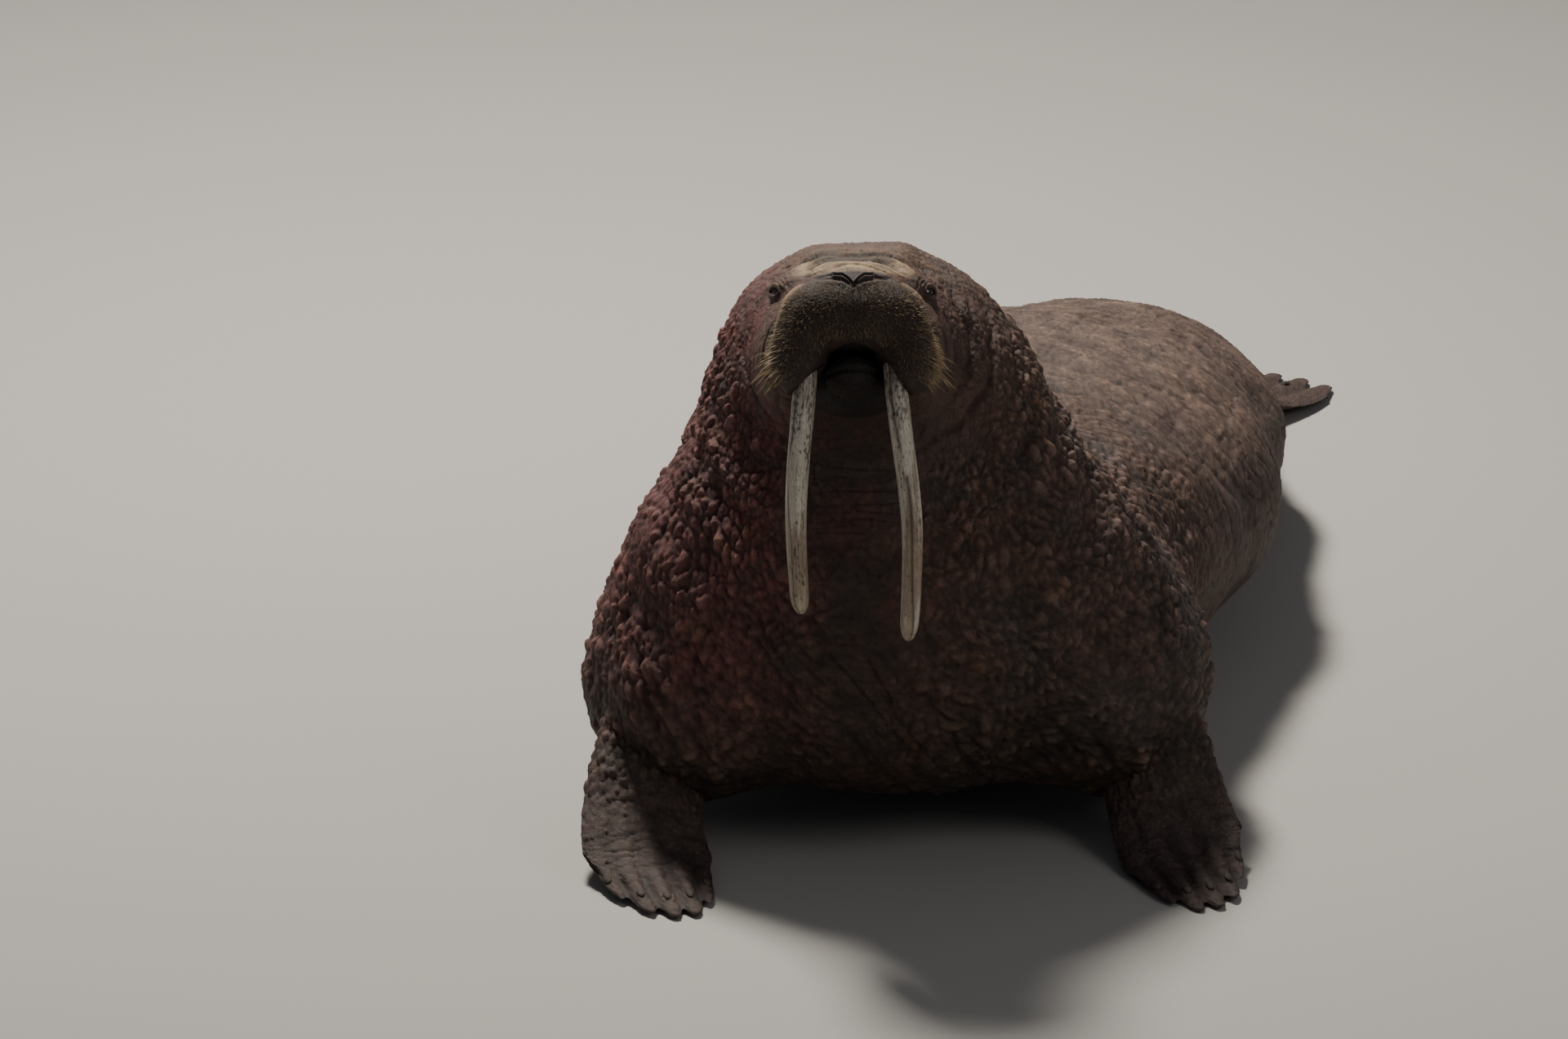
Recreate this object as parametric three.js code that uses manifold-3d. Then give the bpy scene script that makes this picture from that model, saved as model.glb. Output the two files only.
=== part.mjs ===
// A Pacific walrus bull, life size, propped on the foreflippers with the head raised.
// Millimetres, +Z up, the animal faces -Y, the floor is z = 0.
import * as THREE from 'three';
import { mergeVertices } from 'three/addons/utils/BufferGeometryUtils.js';
import Module from 'manifold-3d';

const wasm = await Module();
wasm.setup();

const seam = 0.3;                       // clear space between neighbouring nodes
const degree = Math.PI / 180;

// The head's own frame: x to the side, -y out of the muzzle, z up, then pitched and placed.
const headPlace = [0, -227, 1104];
const headPitch = 22;

// Sections down the body: the middle of each, and the pitch and yaw of the axis that
// points through it towards the nose.
const stations = [
  { at: [0, -199, 1093], pitch: 22, yaw: 0 },
  { at: [0, -70, 1040], pitch: 42, yaw: 0 },
  { at: [12, 0, 930], pitch: 55, yaw: 3 },
  { at: [35, 45, 780], pitch: 62, yaw: 6 },
  { at: [65, 130, 590], pitch: 57, yaw: 10 },
  { at: [115, 330, 430], pitch: 38, yaw: 15 },
  { at: [230, 750, 340], pitch: 10, yaw: 17 },
  { at: [390, 1250, 290], pitch: 2, yaw: 18 },
  { at: [560, 1800, 210], pitch: -4, yaw: 18 },
  { at: [680, 2180, 150], pitch: -6, yaw: 18 },
];

// Where one body node ends and the next starts, counted in stations.
const cuts = { headEnd: 1.35, neckEnd: 3.9, chestEnd: 5.6, bellyEnd: 7.4 };

// Flesh of the head, in the head's frame. Paired forms are mirrored in x.
const headFlesh = [
  { at: [0, 190, 40], size: [165, 200, 145], blend: 40 },
  { at: [0, 50, 45], size: [112, 160, 84], blend: 50 },
  { at: [0, -32, 100], size: [58, 58, 30], blend: 26 },
  { at: [54, -42, 42], size: [84, 64, 66], pair: true, blend: 26 },
  { at: [0, -48, 36], size: [58, 54, 58], blend: 28 },
  { at: [108, -38, -22], size: [48, 64, 84], roll: -12, pair: true, blend: 34 },
  { at: [112, 120, -35], size: [80, 130, 110], pair: true, blend: 50 },
  { at: [104, 118, 106], size: [42, 56, 24], pair: true, blend: 26 },
  { at: [0, 100, -96], size: [90, 120, 60], blend: 40 },
];
const jawFlesh = [
  { at: [0, 44, -80], size: [60, 96, 48], blend: 20 },
  { at: [0, -22, -70], size: [49, 42, 34], blend: 30 },
];

// Flesh of the body, in the part's frame before it is centred.
const bodyFlesh = [
  { at: [15, 70, 1045], size: [220, 190, 130], blend: 90 },
  { at: [40, 80, 930], size: [300, 250, 190], blend: 110 },
  { at: [57, 90, 760], size: [370, 310, 240], blend: 120 },
  { at: [75, 90, 520], size: [505, 350, 320], blend: 140 },
  { at: [90, 200, 370], size: [560, 480, 330], blend: 140 },
  { at: [210, 720, 330], size: [560, 560, 360], yaw: 17, blend: 200 },
  { at: [390, 1250, 290], size: [520, 600, 330], yaw: 18, blend: 200 },
  { at: [580, 1830, 210], size: [370, 480, 250], yaw: 18, blend: 200 },
  { at: [715, 2250, 130], size: [210, 260, 150], yaw: 18, blend: 150 },
  { at: [-342, 60, 250], size: [165, 240, 200], yaw: 15, blend: 160 },
  { at: [548, 80, 250], size: [165, 240, 200], yaw: -15, blend: 160 },
];
const floorRound = 30;                  // how softly the belly rolls on to the floor

// Rolls of hide round the neck.
const neckRolls = { from: 1.7, to: 4.6, waves: 5, depth: 6 };

const tusks = {
  left: { length: 496, root: [79, -30, -24], out: 37, spread: 0.72, back: 10 },
  right: { length: 445, root: [-90, -30, -24], out: -22, spread: 0.7, back: -13 },
  inGum: 60, wide: 45, deep: 64, sweep: 62, sides: 12, rings: 12,
};

const eye = { at: [138, 101, 90], radius: 17 };
const lids = {
  at: [134, 106, 90], size: [24, 32, 27], slitAt: [145, 94, 91], slit: [24, 17, 6], yaw: -42,
};
const nostril = { at: [22, -84, 110], size: [19, 26, 5], roll: -22, pitch: -30 };
const ear = { at: [172, 262, 62], size: [16, 5, 8] };
const whiskers = {
  inner: 9, outer: 76, low: -41, high: 35, step: 9, root: 12, thick: 3.6, short: 16, long: 50,
  seed: 7,
};
const tail = { at: [735, 2440, 62], size: [62, 90, 26] };

const colour = {
  hide: 0x8a5a44, muzzle: 0x8f7565, ivory: 0xd9cfb4, eye: 0x1a1210, flipper: 0x5f4638,
};

function add(a, b, scale = 1) {
  return [a[0] + b[0] * scale, a[1] + b[1] * scale, a[2] + b[2] * scale];
}

// A turn by pitch about x, then roll about y, then yaw about z, as a 3 by 3 matrix.
function turning({ pitch = 0, roll = 0, yaw = 0 }) {
  const euler = new THREE.Euler(pitch * degree, roll * degree, yaw * degree, 'ZYX');
  return new THREE.Matrix3().setFromMatrix4(new THREE.Matrix4().makeRotationFromEuler(euler));
}

function turned(matrix, v) {
  const p = new THREE.Vector3(...v).applyMatrix3(matrix);
  return [p.x, p.y, p.z];
}

const headTurn = turning({ pitch: -headPitch });

function fromHead(p) {
  return add(headPlace, turned(headTurn, p));
}

// An ellipsoid of flesh: its middle, its radii and the inverse of its turn.
function ellipsoid(flesh, inHead) {
  const own = turning(flesh);
  const turn = inHead ? headTurn.clone().multiply(own) : own;
  const at = inHead ? fromHead(flesh.at) : flesh.at;
  return { at, size: flesh.size, back: turn.clone().transpose().elements, blend: flesh.blend };
}

function fleshOf(list, inHead) {
  const out = [];
  for (const flesh of list) {
    out.push(ellipsoid(flesh, inHead));
    if (flesh.pair) {
      const [x, y, z] = flesh.at;
      const twin = { ...flesh, at: [-x, y, z], roll: -(flesh.roll ?? 0), yaw: -(flesh.yaw ?? 0) };
      out.push(ellipsoid(twin, inHead));
    }
  }
  return out;
}

// Roughly how far a point is outside one ellipsoid.
function outside(e, p) {
  const dx = p[0] - e.at[0];
  const dy = p[1] - e.at[1];
  const dz = p[2] - e.at[2];
  const m = e.back;
  const x = (m[0] * dx + m[3] * dy + m[6] * dz) / e.size[0];
  const y = (m[1] * dx + m[4] * dy + m[7] * dz) / e.size[1];
  const z = (m[2] * dx + m[5] * dy + m[8] * dz) / e.size[2];
  const far = Math.hypot(x, y, z);
  const slope = Math.hypot(x / e.size[0], y / e.size[1], z / e.size[2]);
  return slope < 1e-9 ? -Math.min(...e.size) : far * (far - 1) / slope;
}

function softMin(a, b, k) {
  const h = Math.max(k - Math.abs(a - b), 0) / k;
  return Math.min(a, b) - h * h * k / 4;
}

function fieldOf(flesh) {
  return (p) => {
    let d = 1e9;
    for (const e of flesh) {
      d = softMin(d, outside(e, p), e.blend);
    }
    return -softMin(-d, p[2], floorRound);
  };
}

const lidFlesh = [{ at: lids.at, size: lids.size, pair: true, blend: 14 }];
const wholeField = fieldOf([
  ...fleshOf(bodyFlesh, false), ...fleshOf(headFlesh, true), ...fleshOf(lidFlesh, true),
]);
const jawField = fieldOf(fleshOf(jawFlesh, true));

// The distance along a ray from inside to where it last leaves the flesh.
function reach(field, from, way, far, level) {
  let r = far;
  let d = field(add(from, way, r)) - level;
  for (let i = 0; i < 90 && d > 0.01; i += 1) {
    r -= Math.max(d * 0.7, 0.01);
    d = field(add(from, way, r)) - level;
  }
  return Math.max(r, 1);
}

// Catmull-Rom through the stations' places and angles.
function station(t) {
  const rows = stations.map((s) => [...s.at, s.pitch, s.yaw]);
  const i = Math.min(Math.floor(t), rows.length - 2);
  const u = t - i;
  const pick = (k) => rows[Math.min(Math.max(k, 0), rows.length - 1)];
  const [a, b, c, d] = [pick(i - 1), pick(i), pick(i + 1), pick(i + 2)];
  const mix = b.map((_, k) => 0.5 * (2 * b[k] + (c[k] - a[k]) * u
    + (2 * a[k] - 5 * b[k] + 4 * c[k] - d[k]) * u * u
    + (3 * b[k] - a[k] - 3 * c[k] + d[k]) * u ** 3));
  const pitch = mix[3] * degree;
  const yaw = mix[4] * degree;
  const axis = [Math.sin(yaw) * -Math.cos(pitch), -Math.cos(yaw) * Math.cos(pitch), Math.sin(pitch)];
  const side = [Math.cos(yaw), -Math.sin(yaw), 0];
  const up = new THREE.Vector3(...axis).cross(new THREE.Vector3(...side)).toArray();
  return { at: mix.slice(0, 3), axis, side, up };
}

function rollDepth(t, around) {
  if (t < neckRolls.from || t > neckRolls.to) {
    return 0;
  }
  const u = (t - neckRolls.from) / (neckRolls.to - neckRolls.from);
  const wave = Math.sin(u * neckRolls.waves * 2 * Math.PI + 0.6 * Math.sin(2 * around));
  return neckRolls.depth * Math.sin(Math.PI * u) * wave;
}

// A ring of points round station t. lean is the angle between the rays and the axis.
function ring(field, t, lean, columns, level, shift = 0) {
  const s = station(t);
  const middle = add(s.at, s.axis, shift);
  const points = [];
  for (let j = 0; j < columns; j += 1) {
    const around = 2 * Math.PI * j / columns;
    const flat = add([0, 0, 0], s.side, Math.cos(around) * Math.sin(lean));
    const tilted = add(flat, s.up, Math.sin(around) * Math.sin(lean));
    const way = add(tilted, s.axis, Math.cos(lean));
    const r = reach(field, middle, way, 900, level) + rollDepth(t, around);
    const p = add(middle, way, r);
    p[2] = Math.max(p[2], 0);
    points.push(p);
  }
  return { points, middle, s };
}

// A closed surface from rings, with a point at each end. Without a last point the last ring
// is flat, and its two sides are sewn together.
function closeRings(rings, first, last) {
  const columns = rings[0].length;
  const positions = [first, ...rings.flat(), ...(last ? [last] : [])].flat();
  const index = [];
  const at = (i, j) => 1 + i * columns + ((j + columns) % columns);
  const end = 1 + rings.length * columns;
  const lastRing = rings.length - 1;
  for (let j = 0; j < columns; j += 1) {
    index.push(0, at(0, j), at(0, j + 1));
    if (last) {
      index.push(end, at(lastRing, j + 1), at(lastRing, j));
    }
  }
  for (let i = 0; i + 1 < rings.length; i += 1) {
    for (let j = 0; j < columns; j += 1) {
      index.push(at(i, j), at(i + 1, j), at(i, j + 1));
      index.push(at(i, j + 1), at(i + 1, j), at(i + 1, j + 1));
    }
  }
  for (let j = 0; !last && j < columns / 2; j += 1) {
    if (j + 1 < columns / 2) {
      index.push(at(lastRing, j), at(lastRing, -j - 1), at(lastRing, j + 1));
    }
    if (j > 0) {
      index.push(at(lastRing, j), at(lastRing, -j), at(lastRing, -j - 1));
    }
  }
  const geometry = new THREE.BufferGeometry();
  geometry.setAttribute('position', new THREE.Float32BufferAttribute(positions, 3));
  geometry.setIndex(index);
  return geometry;
}

function solid(geometry) {
  const bare = geometry.clone();
  bare.deleteAttribute('normal');
  bare.deleteAttribute('uv');
  const merged = mergeVertices(bare, 1e-3);
  const mesh = new wasm.Mesh({
    numProp: 3,
    vertProperties: Float32Array.from(merged.attributes.position.array),
    triVerts: Uint32Array.from(merged.index.array),
  });
  const made = new wasm.Manifold(mesh);
  return made.volume() < 0 ? new wasm.Manifold(flipped(mesh)) : made;
}

function flipped(mesh) {
  const turnedFaces = Uint32Array.from(mesh.triVerts);
  for (let i = 0; i < turnedFaces.length; i += 3) {
    [turnedFaces[i], turnedFaces[i + 1]] = [turnedFaces[i + 1], turnedFaces[i]];
  }
  return new wasm.Mesh({ numProp: 3, vertProperties: mesh.vertProperties, triVerts: turnedFaces });
}

function largest(manifold) {
  const pieces = manifold.decompose();
  return pieces.reduce((a, b) => (b.volume() > a.volume() ? b : a));
}

function geometryOf(manifold) {
  const mesh = manifold.getMesh();
  const geometry = new THREE.BufferGeometry();
  geometry.setAttribute('position', new THREE.BufferAttribute(mesh.vertProperties, 3));
  geometry.setIndex(new THREE.BufferAttribute(mesh.triVerts, 1));
  geometry.computeVertexNormals();
  return geometry;
}

function spaced(from, to, count) {
  return Array.from({ length: count }, (_, i) => from + (to - from) * i / (count - 1));
}

// A length of the body between two stations, with flat ends.
function bodyLength(from, to, rows, columns, level = 0) {
  const rings = spaced(from, to, rows).map((t, i) => {
    const shift = i === 0 ? -seam / 2 : i === rows - 1 ? seam / 2 : 0;
    return ring(wholeField, t, Math.PI / 2, columns, level, shift);
  });
  return closeRings(rings.map((r) => r.points), rings[0].middle, rings[rows - 1].middle);
}

function headLength(level = 0) {
  const columns = 48;
  const fan = spaced(7, 84, 14).map((lean) => ring(wholeField, 0, lean * degree, columns, level));
  const along = spaced(0, cuts.headEnd, 11).map((t, i) => (
    ring(wholeField, t, Math.PI / 2, columns, level, i === 10 ? seam / 2 : 0)));
  const rings = [...fan, ...along];
  const tip = ring(wholeField, 0, 0, 3, level).points[0];
  return closeRings(rings.map((r) => r.points), tip, rings[rings.length - 1].middle);
}

function rumpLength(level = 0) {
  const columns = 36;
  const last = stations.length - 1;
  const along = spaced(cuts.bellyEnd, last, 7).map((t, i) => (
    ring(wholeField, t, Math.PI / 2, columns, level, i === 0 ? -seam / 2 : 0)));
  const fan = spaced(105, 170, 5).map((lean) => ring(wholeField, last, lean * degree, columns, level));
  const rings = [...along, ...fan];
  const tip = ring(wholeField, last, Math.PI, 3, level).points[0];
  return closeRings(rings.map((r) => r.points), rings[0].middle, tip);
}

function jawMesh(level = 0) {
  const middle = fromHead([0, 30, -74]);
  const axis = turned(headTurn, [0, -1, 0]);
  const side = [1, 0, 0];
  const up = new THREE.Vector3(...axis).cross(new THREE.Vector3(...side)).toArray();
  const columns = 20;
  const way = (lean, around) => {
    const flat = add([0, 0, 0], side, Math.cos(around) * Math.sin(lean));
    return add(add(flat, up, Math.sin(around) * Math.sin(lean)), axis, Math.cos(lean));
  };
  const rings = spaced(15, 165, 11).map((lean) => (
    Array.from({ length: columns }, (_, j) => {
      const w = way(lean * degree, 2 * Math.PI * j / columns);
      return add(middle, w, reach(jawField, middle, w, 300, level));
    })));
  const front = add(middle, axis, reach(jawField, middle, axis, 300, level));
  const rearWay = axis.map((v) => -v);
  const rear = add(middle, rearWay, reach(jawField, middle, rearWay, 300, level));
  return closeRings(rings, front, rear);
}

// A thick plate in the head's frame, used to part the muzzle from the head.
function headPlate(y, thick) {
  const geometry = new THREE.BoxGeometry(900, thick, 900);
  geometry.applyMatrix4(new THREE.Matrix4().makeTranslation(0, y, 0));
  return intoPart(geometry);
}

function intoPart(geometry) {
  const matrix = new THREE.Matrix4().makeRotationX(-headPitch * degree);
  matrix.setPosition(...headPlace);
  return geometry.applyMatrix4(matrix);
}

// A tusk: an oval carried down a line that bows outward and sweeps back, with a worn blunt tip.
function tusk(side, grow = 0) {
  const form = tusks[side];
  const [x0, y0, z0] = form.root;
  const steps = [...spaced(0, 0.93, tusks.rings - 3), 0.965, 0.988, 1];
  const rings = steps.map((u) => {
    const x = x0 + form.out * smooth(u / form.spread) - form.back * u ** 4;
    const y = y0 - 26 * Math.sin(Math.PI * u) + tusks.sweep * u * u;
    const z = z0 - (form.length + tusks.inGum) * u;
    const blunt = Math.sqrt(Math.max(1 - (Math.max(u - 0.93, 0) / 0.074) ** 2, 0));
    const taper = (1 - 0.22 * u * u) * blunt;
    return Array.from({ length: tusks.sides }, (_, j) => {
      const a = 2 * Math.PI * j / tusks.sides;
      return fromHead([
        x + Math.cos(a) * (tusks.wide / 2 * taper + grow),
        y + Math.sin(a) * (tusks.deep / 2 * taper + grow),
        z,
      ]);
    });
  });
  const mid = (points) => points.reduce((s, p) => add(s, p, 1 / points.length), [0, 0, 0]);
  const last = add(mid(rings[rings.length - 1]), turned(headTurn, [0, 0, -1]), 2 + grow);
  return closeRings(rings, mid(rings[0]), last);
}

function mirrored([x, y, z], sign) {
  return [x * sign, y, z];
}

function ball(at, size, turn = {}) {
  const geometry = new THREE.SphereGeometry(1, 12, 8);
  const matrix = new THREE.Matrix4().makeScale(...size);
  const own = turning(turn);
  const full = new THREE.Matrix4().setFromMatrix3(own).multiply(matrix);
  full.setPosition(...at);
  return geometry.applyMatrix4(full);
}

// An ellipsoid given in the head's frame, on either side of it.
function headBall(form, sign, grow = 0) {
  const turn = { pitch: form.pitch ?? 0, roll: (form.roll ?? 0) * sign, yaw: (form.yaw ?? 0) * sign };
  const size = form.size.map((v) => v + grow);
  return solid(intoPart(ball(mirrored(form.at, sign), size, turn)));
}

// Steady pseudo-random numbers from 0 to 1.
function dice(seed) {
  let state = seed;
  return () => {
    state = (state * 1103515245 + 12345) % 2147483648;
    return state / 2147483648;
  };
}

// One bristle: three sides, tapering from a sunken root to a point, a little bent.
function bristle(base, way, length, sag) {
  const w = new THREE.Vector3(...way);
  const side = new THREE.Vector3(0.3, 0.2, 1).cross(w).normalize();
  const up = w.clone().cross(side);
  const triangle = (along, radius, drop) => [0, 1, 2].map((k) => {
    const a = 2 * Math.PI * k / 3;
    const p = add(base, way, along);
    const q = add(add(p, side.toArray(), Math.cos(a) * radius), up.toArray(), Math.sin(a) * radius);
    return [q[0], q[1], q[2] - drop];
  });
  const root = triangle(-whiskers.root, whiskers.thick / 2, 0);
  const half = triangle(length * 0.55, whiskers.thick * 0.36, sag * 0.3);
  const tip = add(base, way, length);
  tip[2] -= sag;
  const mid = root.reduce((sum, p) => add(sum, p, 1 / 3), [0, 0, 0]);
  return closeRings([root, half], mid, tip);
}

// Bristles over both pads, seen as angles from a point inside the head: outward and upward.
function bristles() {
  const roll = dice(whiskers.seed);
  const from = fromHead([0, 30, 0]);
  const made = [];
  for (const sign of [1, -1]) {
    let row = 0;
    for (let up = whiskers.low; up <= whiskers.high; up += whiskers.step, row += 1) {
      const lowest = up < -12 ? 27 : whiskers.inner;
      for (let out = lowest + (row % 2) * 3; out <= whiskers.outer; out += whiskers.step * 0.9) {
        const a = (out + (roll() - 0.5) * 3) * degree;
        const b = (up + (roll() - 0.5) * 3) * degree;
        const local = [sign * Math.sin(a) * Math.cos(b), -Math.cos(a) * Math.cos(b), Math.sin(b)];
        const way = turned(headTurn, local);
        const base = add(from, way, reach(wholeField, from, way, 400, 0));
        const normal = new THREE.Vector3(...slope(wholeField, base));
        const lie = new THREE.Vector3(...turned(headTurn, [sign * 0.35, -0.1, -0.45]));
        const corner = smooth((out - 25) / 40) * smooth((8 - up) / 40);
        const bend = normal.addScaledVector(lie, 0.5 + corner).normalize();
        const length = whiskers.short + (whiskers.long - whiskers.short) * corner + 8 * roll();
        made.push(solid(bristle(base, bend.toArray(), length, length * 0.18)));
      }
    }
  }
  return made;
}

function slope(field, p) {
  const step = 1;
  const g = [0, 1, 2].map((k) => {
    const q = [...p];
    q[k] += step;
    return field(q) - field(p);
  });
  const size = Math.hypot(...g);
  return g.map((v) => v / size);
}

// A flipper: a flat oval carried down a path and closed by a thin scalloped edge. Digits make
// ridges on the blade, and each ends at its own length.
function flipper(form, grow = 0) {
  const path = new THREE.CatmullRomCurve3(form.path.map((p) => new THREE.Vector3(...p)));
  const half = form.digits * 2;
  const rings = spaced(0, 1, form.rows).map((u) => (
    Array.from({ length: half * 2 }, (_, j) => {
      const onTop = j <= half;
      const w = 1 - 2 * (onTop ? j : 2 * half - j) / half;
      const digit = -Math.cos((w + 1) * Math.PI * form.digits);
      const blade = smooth((u - form.knuckle) / (1 - form.knuckle));
      const rounded = form.round * Math.abs(w) ** 2.5 - form.rake * w;
      const along = u - blade * u * (rounded + form.scallop * ((1 - digit) / 2) ** 2);
      const at = path.getPoint(along);
      const tangent = path.getTangent(along);
      const side = new THREE.Vector3(...form.side);
      side.addScaledVector(tangent, -side.dot(tangent)).normalize();
      const up = tangent.clone().cross(side).normalize();
      const edge = Math.sqrt(Math.max(1 - w * w, 0)) * (onTop ? 1 : -1);
      const thick = form.thick(u) * (1 + form.ridge * blade * digit) * edge;
      at.addScaledVector(side, w * (form.width(u) + grow)).addScaledVector(up, thick * form.hand);
      return [at.x, at.y, Math.max(at.z, 0)];
    })));
  const mid = rings[0].reduce((sum, p) => add(sum, p, 1 / rings[0].length), [0, 0, 0]);
  return closeRings(rings, mid, null);
}

function smooth(x) {
  const u = Math.min(Math.max(x, 0), 1);
  return u * u * (3 - 2 * u);
}

const foreForm = {
  rows: 15, digits: 5, knuckle: 0.5, scallop: 0.07, rake: 0.05, ridge: 0.35, round: 0.2,
  width: (u) => 105 + 22 * smooth(u / 0.8) - 14 * smooth((u - 0.8) / 0.2),
  thick: (u) => 85 - 68 * smooth(u / 0.8) - 11 * smooth((u - 0.8) / 0.2),
};
const foreflippers = {
  right: {
    ...foreForm, side: [1, 0.3, 0], hand: 1,
    path: [[-320, 90, 330], [-385, -40, 210], [-410, -180, 90], [-390, -300, 30], [-340, -480, 8]],
  },
  left: {
    ...foreForm, side: [1, -0.25, 0], hand: 1, rake: -0.05,
    path: [[500, 100, 330], [585, -20, 210], [625, -140, 90], [660, -255, 30], [715, -430, 8]],
  },
};
const hindForm = {
  rows: 14, digits: 5, knuckle: 0.4, scallop: 0.09, rake: 0, ridge: 0.35, round: 0.06,
  width: (u) => 75 + 100 * smooth(u),
  thick: (u) => 72 - 56 * smooth(u / 0.75) - 11 * smooth((u - 0.75) / 0.25),
};
const hindflippers = {
  right: {
    ...hindForm, side: [1, 0.1, 0], hand: 1,
    path: [[620, 2220, 120], [610, 2400, 80], [590, 2560, 30], [540, 2820, 8]],
  },
  left: {
    ...hindForm, side: [1, -0.5, 0], hand: 1,
    path: [[800, 2200, 120], [840, 2370, 80], [900, 2520, 30], [1010, 2740, 8]],
  },
};

function named(name, manifold, tint, roughness = 0.8) {
  const material = new THREE.MeshStandardMaterial({ color: tint, roughness, metalness: 0 });
  const mesh = new THREE.Mesh(geometryOf(manifold), material);
  mesh.name = name;
  return mesh;
}

const walrus = new THREE.Group();
const bodyNodes = [
  ['neck', bodyLength, [cuts.headEnd, cuts.neckEnd, 15, 40]],
  ['chest', bodyLength, [cuts.neckEnd, cuts.chestEnd, 9, 40]],
  ['belly', bodyLength, [cuts.chestEnd, cuts.bellyEnd, 8, 36]],
];
let bodyGrown = null;
for (const [name, make, sizes] of bodyNodes) {
  walrus.add(named(name, solid(make(...sizes)), colour.hide));
  const grown = solid(make(...sizes, seam));
  bodyGrown = bodyGrown ? bodyGrown.add(grown) : grown;
}
walrus.add(named('rump', solid(rumpLength()), colour.hide));
const rumpGrown = solid(rumpLength(seam));

const jaw = solid(jawMesh());
const jawGrown = solid(jawMesh(seam));
let headAll = solid(headLength()).subtract(jawGrown);
for (const side of ['left', 'right']) {
  walrus.add(named(`tusk_${side}`, solid(tusk(side)), colour.ivory, 0.4));
  headAll = headAll.subtract(solid(tusk(side, seam)));
}
for (const [side, sign] of [['left', 1], ['right', -1]]) {
  const globe = { at: eye.at, size: Array(3).fill(eye.radius) };
  const slit = { at: lids.slitAt, size: lids.slit, yaw: lids.yaw };
  headAll = headAll.subtract(headBall(globe, sign, seam)).subtract(headBall(slit, sign));
  headAll = headAll.subtract(headBall(nostril, sign)).subtract(headBall(ear, sign));
  walrus.add(named(`eye_${side}`, headBall(globe, sign), colour.eye, 0.2));
}
const parted = headAll.subtract(solid(headPlate(20, seam))).decompose();
parted.sort((a, b) => b.volume() - a.volume());
let front = parted[1];
for (const one of bristles()) {
  front = front.add(one);
}
for (const clear of [jawGrown, solid(tusk('left', seam)), solid(tusk('right', seam))]) {
  front = front.subtract(clear);
}
front = largest(front);
walrus.add(named('head', parted[0], colour.hide));
walrus.add(named('muzzle', front, colour.muzzle));
walrus.add(named('lower_jaw', jaw, colour.hide));
const tailBall = solid(ball(tail.at, tail.size, { yaw: 18 }));
walrus.add(named('tail', largest(tailBall.subtract(rumpGrown)), colour.hide));
for (const side of ['left', 'right']) {
  const fore = largest(solid(flipper(foreflippers[side])).subtract(bodyGrown));
  walrus.add(named(`foreflipper_${side}`, fore, colour.flipper));
  const tailGrown = solid(ball(tail.at, tail.size.map((v) => v + seam), { yaw: 18 }));
  const hind = largest(solid(flipper(hindflippers[side])).subtract(rumpGrown).subtract(tailGrown));
  walrus.add(named(`hindflipper_${side}`, hind, colour.flipper));
}

const box = new THREE.Box3().setFromObject(walrus);
const middle = box.getCenter(new THREE.Vector3());
walrus.position.set(-middle.x, -middle.y, -box.min.z);

export default walrus;
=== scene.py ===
# A walrus bull, life size: hide, flippers, tusks, eyes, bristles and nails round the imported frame.
import itertools
import math
import bpy
import numpy as np
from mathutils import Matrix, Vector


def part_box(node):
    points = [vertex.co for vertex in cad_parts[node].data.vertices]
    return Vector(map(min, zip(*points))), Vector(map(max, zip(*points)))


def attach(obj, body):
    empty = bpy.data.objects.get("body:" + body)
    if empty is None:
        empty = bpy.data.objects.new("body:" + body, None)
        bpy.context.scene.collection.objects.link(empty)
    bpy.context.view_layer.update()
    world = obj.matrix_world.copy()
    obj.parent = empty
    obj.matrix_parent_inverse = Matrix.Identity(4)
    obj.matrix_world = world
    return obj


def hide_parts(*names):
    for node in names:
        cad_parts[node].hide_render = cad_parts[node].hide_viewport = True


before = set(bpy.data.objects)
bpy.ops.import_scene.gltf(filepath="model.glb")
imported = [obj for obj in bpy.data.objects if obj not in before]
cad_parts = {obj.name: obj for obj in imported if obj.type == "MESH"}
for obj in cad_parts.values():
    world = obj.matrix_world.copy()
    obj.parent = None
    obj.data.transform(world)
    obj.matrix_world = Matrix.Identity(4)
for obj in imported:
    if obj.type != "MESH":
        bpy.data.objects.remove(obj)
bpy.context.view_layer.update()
print("frame loaded")

degree = math.pi / 180

# Posture, in millimetres of the animal's own frame, with the floor at z = 0.
posture = {
    "headPlace": (0, -227, 1104),
    "headPitch": 22,
    "stations": (  # middle of each section, then pitch and yaw of the axis towards the nose
        (0, -199, 1093, 22, 0),
        (0, -70, 1040, 42, 0),
        (12, 0, 930, 55, 3),
        (35, 45, 780, 62, 6),
        (65, 130, 590, 57, 10),
        (115, 330, 430, 38, 15),
        (230, 750, 340, 10, 17),
        (390, 1250, 290, 2, 18),
        (560, 1800, 210, -4, 18),
        (680, 2180, 150, -6, 18),
    ),
    "floorRound": 30,
}

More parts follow.
